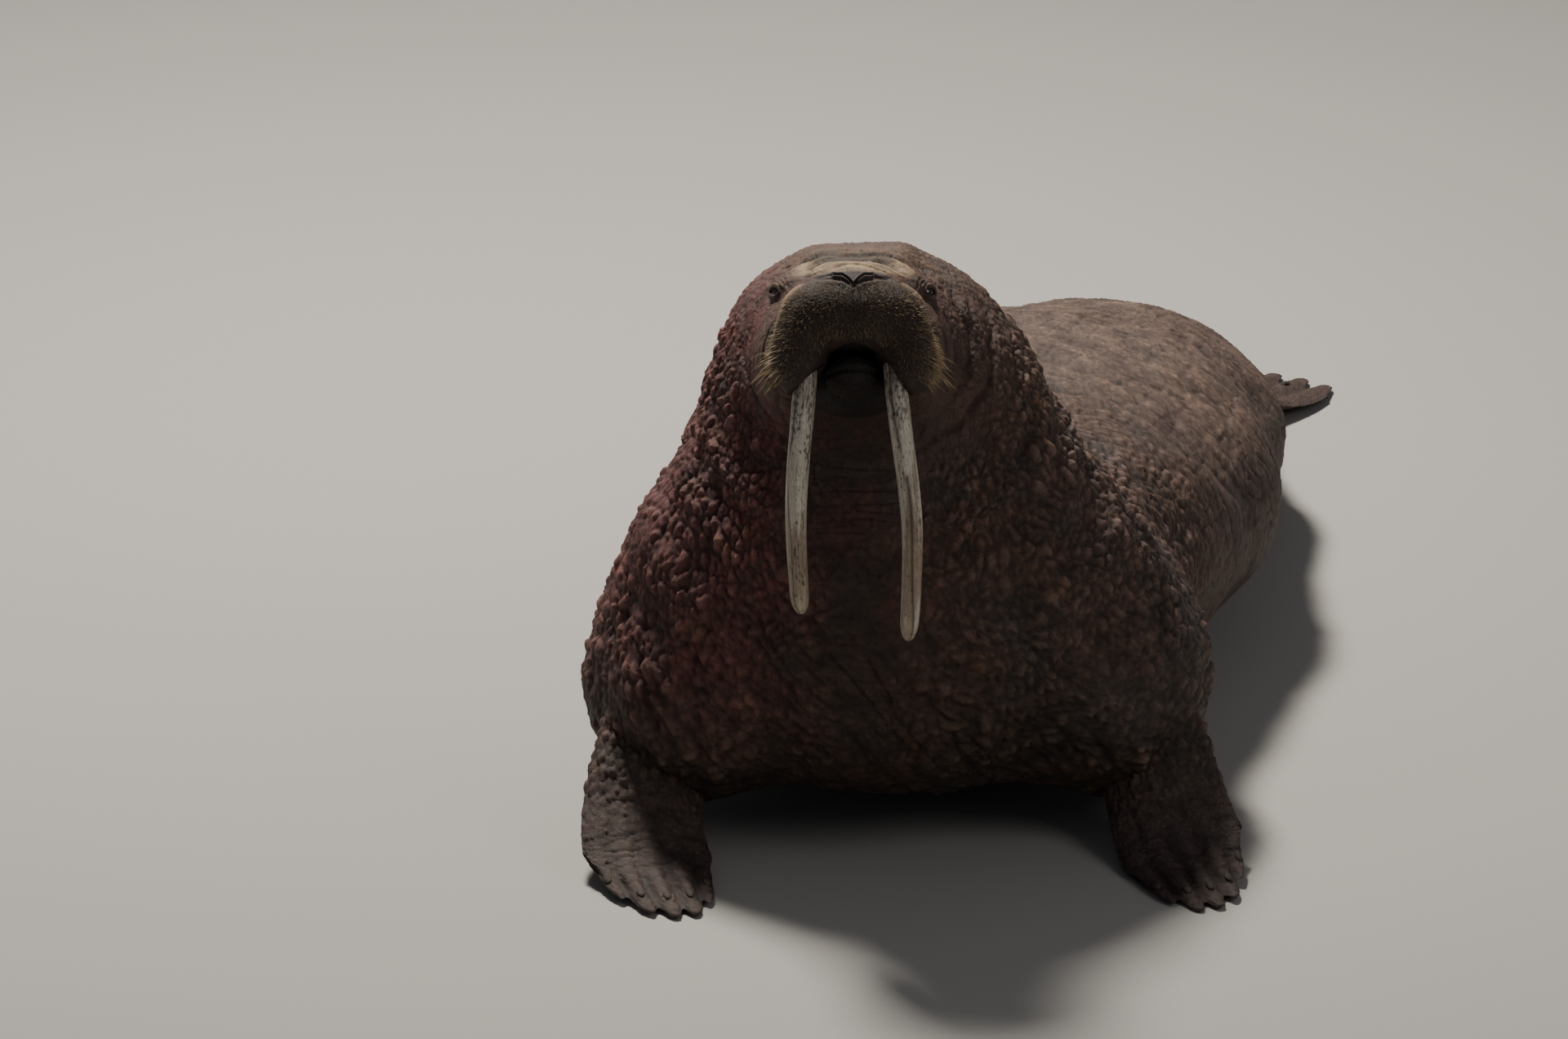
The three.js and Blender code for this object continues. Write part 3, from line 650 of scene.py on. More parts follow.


# Relief, painted shade and a painted highlight round the eyes, and how far open the lids are. The
# opening lies between two parabolas across the eye, and the rings are bells of an oval's radius.
def eyeRelief(h, near, wander):
    across, up, out = aboutEye(h)
    gap, rim, brow, light = (eyeFolds[key] for key in ("opening", "rim", "brow", "light"))
    bow = np.clip(1 - (across / gap["half"]) ** 2, 0, 1)
    inside = np.minimum(gap["upper"] * bow - gap["drop"] - up, up + gap["lower"] * bow + gap["drop"])
    opening = smooth(inside, -gap["soft"], gap["soft"]) * (out > 0)
    opening = opening * (np.abs(across) < gap["half"]) * near
    ringed = np.hypot(across / eyeFolds["stretch"], up)
    ahead = near * (out > eyeFolds["ahead"])
    shown = ahead * bell(ringed, eyeFolds["reach"])
    relief = rim["high"] * bell(ringed - rim["radius"], rim["wide"]) * shown
    relief += brow["high"] * bell(up - brow["up"] + brow["bend"] * across ** 2, brow["wide"]) * shown
    shade = np.ones(relief.shape)
    # Each ring round the eye is cut in and darkened as painted shade.
    for radius, deep in eyeFolds["rings"]:
        line = bell(ringed + 0.6 * wander - radius, eyeFolds["ringWide"]) * shown
        relief -= deep * line
        shade *= 1 - eyeFolds["ringDim"] * line
    # Painted shade in the opening between the lids and in a ring beside the eye.
    beside = eyeFolds["shade"]
    shade *= 1 - gap["dim"] * opening
    shade *= 1 - beside["dim"] * bell(ringed - beside["radius"], beside["wide"]) * ahead
    # A painted highlight along the brow over the upper lid.
    lit = bell(up - light["up"] + light["bend"] * across ** 2, light["wide"])
    shade *= 1 + light["amount"] * lit * shown
    return relief, shade, opening


# Relief of the face in millimetres, its painted shade and highlight, and where its parts are.
def faceRelief(p, h, near):
    ax, hy, hz = np.abs(h[..., 0]), h[..., 1], h[..., 2]
    wander = muzzle["wander"]["by"] * noiseAt(h / muzzle["wander"]["cell"], muzzle["wander"]["seed"])
    lines, dark = lineRelief(h, near, wander)
    eyes, eyeShade, opening = eyeRelief(h, near, wander)
    relief = (lines + eyes) * (1 - opening) - eyeFolds["opening"]["deep"] * opening
    dark = dark * eyeShade
    away = np.linalg.norm(np.stack([ax, hy, hz], -1) - ear["at"], axis=-1)
    relief += ear["high"] * bell(away - ear["rim"], ear["wide"]) - ear["deep"] * bell(away, ear["wide"])
    # Painted shade in the ear's pit.
    dark *= 1 - ear["dim"] * bell(away, ear["wide"])

    top = np.interp(ax, *padTop)
    beyond = fromPads(p)
    pad = span("padUnder", top - hz) * span("padWithin", muzzle["padReach"] - beyond)
    pad = pad * span("padFront", -hy) * near
    edge = muzzle["border"]
    border = bell(beyond - edge["away"], edge["wide"]) * span("borderOut", ax)
    border = border * span("borderFront", -hy) * near
    relief -= edge["deep"] * border
    # Painted shade in the crease round the pads.
    dark *= 1 - edge["dim"] * border
    groove = bell(h[..., 0], muzzle["groove"]["wide"]) * span("grooveLow", hz)
    groove = groove * (1 - span("grooveHigh", hz)) * span("grooveFront", -hy) * near
    relief -= muzzle["groove"]["deep"] * groove

    arch = muzzle["mouth"]
    under = arch["top"] - arch["drop"] * (ax / arch["half"]) ** 2 - hz
    # The mouth's arch, later painted near black as the shade inside it.
    mouth = span("mouth", under) * (1 - span("mouthOut", ax)) * (hy < arch["back"]) * near
    hollow = span("mouthDeep", under) * (1 - span("mouthDeepOut", ax)) * span("mouthFront", -hy)
    relief -= arch["deep"] * hollow * near
    lip = muzzle["collar"]
    gap = fromTusks(h)
    collar = span("collar", -hz) * span("collarFront", -hy) * near
    relief += lip["high"] * bell(gap - lip["away"], lip["wide"]) * collar
    # Painted shade on the hide round each tusk's root.
    dark *= 1 - lip["dim"] * bell(gap, lip["shadeWide"]) * collar
    # The band between the pads' top and the snout top, later painted dark as shade.
    nose = span("nose", hz - top) * (1 - span("noseTop", hz)) * (1 - span("noseOut", ax))
    return relief, dark, pad, mouth, nose * span("noseFront", -hy) * near


# Regions of the hide from 0 to 1, as products of the spans and of bells round a place.
def regionsAt(p, n, h, tt, near, pad):
    ax, hy, hz = np.abs(h[..., 0]), h[..., 1], h[..., 2]
    x, y, z = (p[..., k] for k in range(3))
    trunk = span("trunk", tt)
    crown = near * span("crown", hz)
    snout = near * span("snout", -hy)
    under = span("facingDown", -n[..., 2])
    eyeAway = np.linalg.norm(np.stack([ax, hy, hz], -1) - eyeForm["at"], axis=-1)
    cheek = near * span("cheekBack", hy) * span("cheekOut", ax) * (1 - 0.8 * crown) * (1 - pad)
    nape = span("nape", hz) * (1 - span("napeEnd", tt))
    neck = np.maximum(span("neck", tt), 0.22 * cheek) * (1 - 0.85 * trunk)
    neck = neck * (1 - bell(eyeAway, 42)) * (1 - 0.6 * nape)
    midline = bell(x - 10 - 0.03 * (900 - z), 105) * span("facingAhead", -n[..., 1])
    # The throat faces ahead; the hide's colour darkens it as painted shade.
    throat = midline * span("throat", tt) * (1 - span("throatEnd", tt))
    patchy = span("patchy", layered(p / 130, 83, 2))
    beady = (0.34 + 0.66 * span("beads", tt)) * (1 - 0.35 * trunk) * (1 - 0.6 * throat)
    bare = (1 + 0.778 * near) * (1 - pad)
    aside = 0.5 + 0.5 * span("furrowOut", np.abs(x - 60))
    # A band along the pads' top edge and the snout's top, later painted lighter as a highlight and as
    # sunlight.
    rimBell = bell(hz - np.interp(ax, *padTop) - 8, 8)
    ridge = span("ridge", hz) * (1 - 0.8 * span("ridgeTop", hz)) * span("ridgeBack", -hy)
    return {
        "trunk": trunk, "crown": crown, "throat": throat, "pad": pad,
        "lumpy": neck * (1 - 0.8 * throat) * (1 - 0.6 * under) * (0.7 + 0.3 * patchy),
        "beady": beady * (1 - 0.95 * pad) * (1 - 0.6 * snout * (1 - crown)),
        "swollen": span("swell", tt) * (1 - 0.5 * under),
        "crownForm": 1 - span("crownFormEnd", tt),
        "furrowed": neck * aside * (1 - throat) * span("furrows", tt),
        "lowChest": span("chestLow", 680 - z) * span("chest", tt) * (1 - trunk),
        "trunkTop": trunk * (1 + 2.4 * span("trunkTop", z)),
        "draped": cheek * (1 - span("drapeEnd", tt)) * (1 - bell(eyeAway, 30)),
        "bare": bare,
        "bareCheek": bare * (1 - 0.6 * snout),
        "cheekFold": span("cheekFoldOut", ax) * (1 - throat),
        # Under the jaw, darkened as painted shade.
        "underJaw": near * span("jaw", -hz) * (1 - span("jawOut", ax)) * (1 - pad),
        "rosy": (span("rosyFrom", tt) * (1 - 0.7 * trunk) * span("rosyRise", z)
                 * (1 - 0.5 * span("rosyBack", y))),
        "low": span("low", 520 - z) * (1 - 0.6 * trunk),
        "left": span("leftSide", x),
        "ridge": ridge * (1 - span("ridgeOut", ax)) * near * (1 - pad),
        "rim": rimBell * span("rimOut", ax) * span("rimBack", -hy) * near,
        # The trunk's upward-facing hide, later painted lighter as lit from above, partly as wear.
        "back": trunk * span("facingUp", n[..., 2]),
    }


# Colour of the hide before the painted shade of its folds: layers of tint, each by its region and by
# noise. Some tints are painted light and shade: lighter on the back and lump tops, the snout's top
# and the pads' top edge, darker in the nose band and the mouth.
def hideColour(p, at, lumps, beads, blotch, nose, mouth):
    patches = layered(p / 95, 120, 3)
    rosy = span("rosy", 0.5 * patches + 0.3 * blotch - p[..., 0] / 420 + 0.20) * at["rosy"]
    grey = span("grey", layered(p / 160, 150, 2) + 0.5 * at["trunk"] + 0.3 * at["left"])
    rust = span("rust", 0.6 * patches + 0.5 * blotch) * (1 - 0.5 * at["trunk"])
    # Partly wear, partly painted light: lighter where the trunk faces up, mottled by noise, and on lump
    # tops.
    wornAndLit = np.clip(at["back"] * (0.45 + 0.35 * blotch + 0.3 * patches), 0, 0.8)
    raised = np.clip((lumps - 0.35) * at["lumpy"] + 0.3 * beads * at["beady"], 0, 1)
    # The tan layers are painted light: sunlight on the snout top over its own tan, and a highlight on
    # the pads' top edge.
    layers = (
        ("grey", 0.75 * grey), ("rosy", 0.9 * rosy), ("olive", 0.7 * at["low"]), ("rust", 0.35 * rust),
        ("wornAndLit", wornAndLit), ("wornAndLit", 0.3 * raised), ("crown", 0.75 * at["crown"]),
        ("tan", at["ridge"] * (0.8 + 0.3 * blotch)), ("nose", nose), ("pad", at["pad"]),
        ("tan", at["rim"] * (0.4 + 0.3 * blotch)), ("dark", 0.9 * mouth))
    return tinted(hide["brown"], [(hide[name], amount) for name, amount in layers], p.shape)


# Relief of the hide in millimetres and its colour, from where each point is on the animal: lumps,
# beads and follicles in cells, families of folds, a few broad swellings, and the face. The colour
# carries painted shade in creases and folds, on the throat and under the jaw, and painted light on
# lump tops.
def hideRelief(p, n, t, room):
    h = toHead(p)
    tt = np.broadcast_to(t[:, None], p.shape[:-1])
    x, y, z = (p[..., k] for k in range(3))
    near = 1 - span("headEnd", tt)
    face, dark, pad, mouth, nose = faceRelief(p, h, near)
    at = regionsAt(p, n, h, tt, near, pad)

    # Cells widen down the neck so that rows of lumps run along it, as its outline does.
    flare = 1 + 0.35 * span("flare", 1080 - z)
    sway, shiver = (np.stack([noiseAt(p / hide[key]["cell"], seed + k) for k in range(3)], -1)
                    * hide[key]["by"] for key, seed in (("sway", 40), ("shiver", 46)))
    slow = sway[..., :1] / hide["sway"]["by"]
    yaw = hide["trunkYaw"] * degree
    c, s = math.cos(yaw), math.sin(yaw)
    a, b = hide["slantWay"]
    spaces = {
        "body": p, "head": h,
        "skin": np.stack([(x - 60) / flare, y / flare, z], -1) + sway + shiver,
        "slant": np.stack([x * a + z * b, y, z * a - x * b], -1),
        "trunk": np.stack([x * c - y * s, y * c + x * s, z], -1),
    }
    lumps, lumpName = lumpsAt(spaces["skin"] / hide["lumpCell"], 5)
    beads, beadName = lumpsAt((p + 0.5 * sway + 0.5 * shiver) / hide["beadCell"], 17)
    follicles = lumpsAt(p / hide["follicleCell"], 25)[0]
    blotch = layered(p / 30, 133, 3)
    relief = hide["lumpHeight"] * (lumps - 0.3) * at["lumpy"]
    relief += hide["beadHeight"] * (beads - 0.3) * at["beady"]
    relief += hide["swellHeight"] * layered(p / hide["swellCell"], 90, 2) * at["swollen"]
    for across, up, wide, high in crownForms:
        relief += high * bell(np.hypot(h[..., 0] - across, h[..., 2] - up), wide) * at["crownForm"]
    # Painted shade and light on the lumps and beads: darker in the creases between them, lighter on
    # their tops, varied by cell.
    shade = 1 + (1.15 * (lumps - 0.36) + 0.3 * (lumpName - 0.5)) * at["lumpy"]
    shade += (0.75 * (beads - 0.3) + 0.2 * (beadName - 0.5)) * at["beady"]
    # Each fold is cut in by its depth and darkened along its crease by painted shade.
    for fold in folds.values():
        place = spaces[fold["space"]] / fold["cell"] + fold["bent"] * slow
        line = foldsAt(place, fold["seed"], fold["sharp"])
        relief -= fold["depth"] * line * at[fold.get("cut", fold["where"])]
        shade *= 1 - fold["dim"] * line * at[fold["where"]]
    bend = tt + 0.08 * noiseAt(p / 55, 33)
    cheekFold = (0.6 * bell(bend - 0.95, 0.05) + bell(bend - 1.28, 0.05)) * at["cheekFold"]
    relief -= 7 * cheekFold * span("roomy", room)
    relief = relief * (1 - 0.8 * mouth) * (1 - 0.7 * nose) + face
    relief += hide["follicleHeight"] * (follicles - 0.25) * pad
    # Painted shade in the cheek folds, on the throat, under the jaw and in the pits between the pads'
    # follicles; blotches vary the tone.
    shade *= (1 - 0.35 * cheekFold) * (1 + 0.14 * blotch) * (1 - 0.35 * at["throat"])
    shade *= (1 - 0.6 * at["underJaw"]) * (1 + (0.8 * (follicles - 0.35) + 0.12 * blotch) * pad)
    colour = hideColour(p, at, lumps, beads, blotch, nose, mouth)
    # The painted shade, with the eyes' painted highlight, is multiplied into the colour.
    colour = colour * np.clip(shade * dark, 0.04, 1.7)[..., None]
    return relief, np.concatenate([np.clip(colour, 0, 1), pad[..., None]], -1)


# The whole hide as one sheet from the middle of the muzzle to the rump, cut into pieces that
# share their border rows and their normals, so no seam shows.
def makeHide():
    fan = np.linspace(0.5, 90, hide["fanRows"] + 1)[:-1] * degree
    blocks = [coverFlesh(np.zeros(len(fan)), fan, hide["columns"], wholeFlesh, 420)]
    ts = [np.zeros(len(fan))]
    borders = [0, len(fan)]
    rows = len(fan)
    for name, start, stop, count in hide["stretches"]:
        t = np.linspace(start, stop, count + 1)[:-1]
        blocks.append(coverFlesh(t, np.full(count, math.pi / 2), hide["columns"], wholeFlesh, 900))
        ts.append(t)
        rows += count
        borders.append(rows)
    lean = np.linspace(90, 178.5, hide["rearRows"]) * degree
    last = len(posture["stations"]) - 1
    blocks.append(coverFlesh(np.full(len(lean), float(last)), lean, hide["columns"], wholeFlesh, 500))
    ts.append(np.full(len(lean), float(last)))
    rows += len(lean)
    borders[-1] = rows - 1
    t = np.concatenate(ts)
    points = np.concatenate([b[0] for b in blocks])
    way = np.concatenate([b[1] for b in blocks])
    points = points + way * rollDepth(t, blocks[0][2])[..., None]
    normals = sheetNormals(points, way)
    shown = np.concatenate([fan / (math.pi / 2) - 1, t[len(fan):]])
    room = np.linalg.norm(np.gradient(points, axis=0), axis=-1)
    room = room / np.maximum(np.gradient(shown), 1e-3)[:, None]
    relief, tone = hideRelief(points, normals, shown, room)
    points = points + normals * (relief * smooth(points[..., 2], 0, 14))[..., None]
    points[..., 2] = np.maximum(points[..., 2], 0)
    normals = sheetNormals(points, way)
    # A piece ends in a rim tucked under the hide and a flat cap, so its inside stays out of sight.
    inner = points - normals * hide["capInset"]
    pieces = []
    names = ["hideMuzzle"] + [stretch[0] for stretch in hide["stretches"]]
    for name, start, stop in zip(names, borders[:-1], borders[1:]):
        headEnd, tailEnd = start == 0, stop == rows - 1
        order = [start] * (not headEnd) + list(range(start, stop + 1)) + [stop] * (not tailEnd)
        sheet = points[order]
        if not headEnd:
            sheet[0] = inner[start]
        if not tailEnd:
            sheet[-1] = inner[stop]
        middle = stationAt(t[[start, stop]])[0]
        first = points[0].mean(0) if headEnd else middle[0]
        last = points[-1].mean(0) if tailEnd else middle[1]
        pieces.append(sheetPiece(name, sheet, first, last, tone[order], normals[order]))
        print(name, len(pieces[-1].data.polygons), "faces")
    return pieces


hidePieces = makeHide()
print("hide made")


# A new node material: its tree, its shader, and a maker of joined nodes.
def newMaterial(name, **sockets):
    made = bpy.data.materials.new(name)
    made.use_nodes = True
    tree = made.node_tree
    shader = tree.nodes["Principled BSDF"]
    for key, value in sockets.items():
        shader.inputs[key].default_value = value

    def node(kind, settings=None, **inputs):
        one = tree.nodes.new("ShaderNode" + kind)
        for key, value in (settings or {}).items():
            setattr(one, key, value)
        for key, value in inputs.items():
            numbered = key[0] == "i" and key[1:].isdigit()
            socket = one.inputs[int(key[1:]) if numbered else key]
            if isinstance(value, bpy.types.NodeSocket):
                tree.links.new(value, socket)
            else:
                socket.default_value = value
        return one

    def into(socket, value):
        tree.links.new(value, shader.inputs[socket])

    return made, node, into


# Where a point is on its piece.
def placeNode(node):
    return node("TexCoord").outputs["Object"]


# The colour of the piece's tone attribute.
def toneNode(node):
    return node("Attribute", {"attribute_name": "tone"}).outputs["Color"]


# Noise in octaves.
def noiseNode(node, place, scale, detail, rough=0.5):
    return node("TexNoise", Vector=place, Scale=scale, Detail=detail, Roughness=rough).outputs["Fac"]


# A value brought from one range to another.
def rangeNode(node, value, low, high, bottom, top):
    return node("MapRange", Value=value, i1=low, i2=high, i3=bottom, i4=top).outputs["Result"]


# The product of two values.
def timesNode(node, a, b):
    return node("Math", {"operation": "MULTIPLY"}, i0=a, i1=b).outputs[0]


# A colour made brighter or darker by an amount.
def scaledNode(node, colour, amount):
    return node("VectorMath", {"operation": "SCALE"}, i0=colour, Scale=amount).outputs[0]


# A piece gets its material, and the nodes that it takes the place of are hidden. The slot is not used.
def wear(piece, material, slot, *nodes):
    piece.data.materials.append(material)
    if nodes:
        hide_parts(*nodes)
    return piece


hideLook = {
    "roughness": 0.62, "smoother": 0.12, "rougher": 0.14, "specular": 0.42,
    "pores": 900.0, "grain": 260.0, "folds": 70.0, "bump": 0.0012, "crackWide": 0.16,
    "coarseShade": (0.70, 1.28), "poreShade": (0.82, 1.16), "crackShade": (0.72, 1.04),
}


# Hide: the tone attribute's colour, varied by noise at three sizes; bump from cells and noise.
def hideMaterial(name):
    look = hideLook
    gloss = {"Roughness": look["roughness"], "Specular IOR Level": look["specular"]}
    made, node, into = newMaterial(name, **gloss)
    place, tone = placeNode(node), toneNode(node)
    coarse = noiseNode(node, place, look["folds"], 4.0, 0.6)
    fine = noiseNode(node, place, look["pores"], 3.0, 0.6)
    cells = node("TexVoronoi", {"feature": "DISTANCE_TO_EDGE"}, Vector=place, Scale=look["grain"])
    crack = rangeNode(node, cells.outputs["Distance"], 0.0, look["crackWide"], 0.0, 1.0)
    shade = rangeNode(node, coarse, 0.3, 0.7, *look["coarseShade"])
    speckle = rangeNode(node, fine, 0.3, 0.7, *look["poreShade"])
    crackShade = rangeNode(node, crack, 0.0, 1.0, *look["crackShade"])
    amount = timesNode(node, timesNode(node, shade, speckle), crackShade)
    into("Base Color", scaledNode(node, tone, amount))
    height = node("Math", {"operation": "MULTIPLY_ADD"}, i0=crack, i1=0.55, i2=fine).outputs[0]
    deep = node("Math", {"operation": "MULTIPLY_ADD"}, i0=coarse, i1=1.2, i2=height).outputs[0]
    into("Normal", node("Bump", Height=deep, Strength=0.75, Distance=look["bump"]).outputs[0])
    rough = (look["roughness"] - look["smoother"], look["roughness"] + look["rougher"])
    into("Roughness", rangeNode(node, coarse, 0.3, 0.7, *rough))
    return made


hideSkin = hideMaterial("weatheredHide")
for piece, node in zip(hidePieces, ("muzzle", "head", "neck", "chest", "belly", "rump")):
    wear(piece, hideSkin, "muzzle_hide" if node == "muzzle" else "hide", node)


# A tusk: an oval carried down a line that bows outward and sweeps back, with a worn blunt tip,
# lengthwise grooves cut by ridged noise, and their dirt as colour.
def makeTusk(name):
    form, tip, seed = tusk[name], tusk["tip"], tusk[name]["seed"]
    body = np.linspace(0, tip["from"], tusk["rows"] - tip["rows"])
    closing = np.sin(np.linspace(0, math.pi / 2, tip["rows"] + 1)[1:])
    u = np.concatenate([body, tip["from"] + tip["share"] * closing])[:, None]
    blunt = np.sqrt(np.clip(1 - (np.maximum(u - tip["from"], 0) / tip["round"]) ** 2, 0, 1))
    taper = (1 - tusk["taper"] * u * u) * blunt
    a = turns(tusk["columns"])
    length = (form["length"] + tusk["inGum"]) * u
    place = np.stack([np.cos(a) + 0 * u, np.sin(a) + 0 * u, length / 150 + 0 * a], -1)

    def noise(cells, number):
        return noiseAt(place * cells, seed + number)

    cracks = np.clip(1 - np.abs(noise((5.5, 5.5, 0.9), 0)) * 7, 0, 1)
    fine = np.clip(1 - np.abs(noise((15, 15, 1.6), 5)) * 3.2, 0, 1)
    fine = fine * smooth(noise((3, 3, 2), 9), -0.3, 0.5)
    radius = 1 + tusk["swell"] * noise((1.2, 1.2, 1.5), 2)
    radius = radius - tusk["crackDepth"] * cracks * smooth(1 - u, 0, 0.12)
    x, y, z = tuskLine(form, u)
    x = x + np.cos(a) * tusk["wide"] / 2 * taper * radius
    y = y + np.sin(a) * tusk["deep"] / 2 * taper * radius
    points = fromHead(np.stack([x, y, z + 0 * a], -1))

    stains = layered(place * (1.3, 1.3, 1.1), seed + 20, 4)
    stain = smooth(stains + 0.5 * smooth(u, 0.35, 0.9) - 0.2, -0.1, 0.7)
    # Darker near the root, just under the lip: partly stain, partly painted shade.
    atGum = 1 - smooth(length, 60, 150)
    # The tip's own wear, browner than the ivory.
    wornAndLit = smooth(u, 0.90, 0.99)
    many = layered(place * (1.6, 1.6, 1.8), seed + 47, 2) + 0.9 * (1 - smooth(length, 100, 300))
    many = smooth(many - 0.2, -0.2, 0.8)
    spots = layered(place * (7, 7, 22), seed + 41, 4)
    mottle = smooth(spots - 0.66 + 0.62 * many, -0.02, 0.30)
    side = form["streak"]
    bend = 0.22 * noiseAt(np.stack([u * 4, 0 * u, 0 * u], -1), seed + 31) + side["drift"] * (u - 0.3)
    streak = bell(np.cos(a)[None] - side["at"] - bend, side["wide"]) * (np.sin(a) < 0.3)[None]
    streak = streak * smooth(noise((0.8, 0.8, 3.3), 33) + side["amount"], -0.35, 0.2)
    layers = (("stain", 0.8 * stain), ("rootStainAndShade", 0.5 * atGum), ("wornAndLit", 0.6 * wornAndLit),
              ("crack", 0.6 * cracks * (0.2 + 0.8 * many)), ("crack", 0.22 * fine),
              ("crack", 0.8 * mottle), ("crack", 0.8 * streak))
    colour = tinted(tusk["ivory"], [(tusk[over], amount) for over, amount in layers], points.shape)
    # Painted shade: darker on the tusk's inner and outer sides than on its front and back.
    colour *= 0.80 + 0.2 * (np.abs(np.sin(a))[None] ** 0.8)[..., None]
    end = points[-1].mean(0) + headTurn @ np.array([0, 0, -tip["sunk"]])
    tone = toneOf(np.clip(colour, 0, 1))
    return sheetPiece(titled("tusk", name), points, points[0].mean(0), end, tone)


# Ivory: the tone attribute varied by lengthwise noise, its roughness varied in patches.
def ivoryMaterial():
    made, node, into = newMaterial("oldIvory", Roughness=0.38, **{"Specular IOR Level": 0.5})
    place, tone = placeNode(node), toneNode(node)
    drawn = node("Mapping", Vector=place, Scale=(1.0, 0.35, 0.10)).outputs["Vector"]
    lines = noiseNode(node, drawn, 700.0, 4.0, 0.65)
    patches = noiseNode(node, place, 35.0, 5.0, 0.7)
    shade = rangeNode(node, lines, 0.25, 0.75, 0.62, 1.22)
    blot = rangeNode(node, patches, 0.3, 0.7, 0.78, 1.12)
    into("Base Color", scaledNode(node, tone, timesNode(node, shade, blot)))
    into("Roughness", rangeNode(node, patches, 0.3, 0.7, 0.30, 0.55))
    into("Normal", node("Bump", Height=lines, Strength=0.5, Distance=0.0007).outputs[0])
    return made


ivory = ivoryMaterial()
for name in ("left", "right"):
    wear(makeTusk(name), ivory, "ivory", "tusk_" + name)
print("tusks made")


# A ball as a sheet of rows from pole to pole: middle, three radii and a turn, in millimetres.
def ballSheet(at, size, turn, rows, columns):
    lean = np.linspace(0, math.pi, rows + 2)[1:-1, None]
    a = turns(columns)
    unit = np.stack([np.sin(lean) * np.cos(a), np.sin(lean) * np.sin(a), np.cos(lean) + 0 * a], -1)
    ends = np.array([[0, 0, 1.0], [0, 0, -1.0]])
    return (unit * size) @ turn.T + at, (ends * size) @ turn.T + at, unit


# The eye's material: dark brown blotched by noise, under a clear wet coat.
def eyeMaterial():
    wet = {"Coat Weight": 1.0, "Coat Roughness": 0.03}
    made, node, into = newMaterial("wetEye", Roughness=0.06, **wet)
    ramp = node("ValToRGB", Fac=noiseNode(node, placeNode(node), 220.0, 3.0, 0.6))
    ramp.color_ramp.elements[0].color = (0.010, 0.005, 0.004, 1)
    ramp.color_ramp.elements[1].color = (0.055, 0.026, 0.015, 1)
    into("Base Color", ramp.outputs["Color"])
    return made


wetEye = eyeMaterial()
for name, sign in (("left", 1), ("right", -1)):
    x, y, z = eyeForm["at"]
    points, ends, _ = ballSheet(fromHead((x * sign, y, z)), (eyeForm["radius"],) * 3, headTurn, 36, 56)
    wear(sheetPiece(titled("eye", name), points, ends[0], ends[1]), wetEye, "eye", "eye_" + name)
print("eyes made")


lid = {
    "wide": 14.5, "upper": 6.4, "lower": 6.0, "away": 4.6, "flat": 5.2, "thick": 3.4,
    "height": 19.0, "fall": 50.0, "square": 0.25, "folds": 0.10, "wrinkle": 0.5,
    "around": 96, "across": 28, "skin": (0.115, 0.070, 0.052), "edge": (0.022, 0.014, 0.012),
}


# Eyelids: a flat oval carried round an almond-shaped opening; its middle stands as high over the
# eye as a shallow dome, the height less the square of its distance from the eye's line of sight.
def makeLids(name, sign):
    a, b = turns(lid["around"])[:, None], turns(lid["across"])[None]
    lift = np.where(np.sin(a) > 0, lid["upper"], lid["lower"])
    high = lift * np.sin(a) * np.abs(np.sin(a)) ** lid["square"]
    rim = np.stack([lid["wide"] * np.cos(a), high], -1)
    away = normed(np.stack([np.cos(a) * lift, np.sin(a) * lid["wide"]], -1))
    middle = rim + away * lid["away"]
    folds = 1 + lid["folds"] * noiseAt(np.stack([np.cos(a) * 3, np.sin(a) * 3, 0 * a], -1), 311)
    flat = middle + away * (lid["flat"] * folds * np.cos(b))[..., None]
    out = lid["height"] - (middle ** 2).sum(-1) / lid["fall"] + (lid["thick"] * folds * np.sin(b))
    out = out + lid["wrinkle"] * np.cos(3 * b) * np.sin(b) ** 2
    across, up, look = eyeWays()
    local = flat[..., :1] * across + flat[..., 1:] * up + out[..., None] * look
    points = fromHead((local + eyeForm["at"]) * (sign, 1, 1))
    inner = smooth(-np.cos(b), -0.1, 0.8)[..., None]
    tint = 1 + 0.25 * layered(points / 5, 313, 2)[..., None]
    colour = (np.array(lid["skin"]) * (1 - inner) + np.array(lid["edge"]) * inner) * tint
    return ringPiece(titled("lids", name), points, toneOf(colour))


for name, sign in (("left", 1), ("right", -1)):
    wear(makeLids(name, sign), hideSkin, "hide")
print("eyelids made")


chin = {
    # colour: dark brown made darker as painted shade; lip: darker still, painted shade under the upper
    # lip and in its groove
    "rows": 90, "columns": 150, "from": (0, 30, -74), "colour": (0.018, 0.011, 0.009),
    "lip": (0.011, 0.008, 0.007), "foldDepth": 2.4, "pebbleHeight": 1.6, "grooveDepth": 6,
    "groove": {"down": 66, "bend": 0.004, "wide": 5},
}


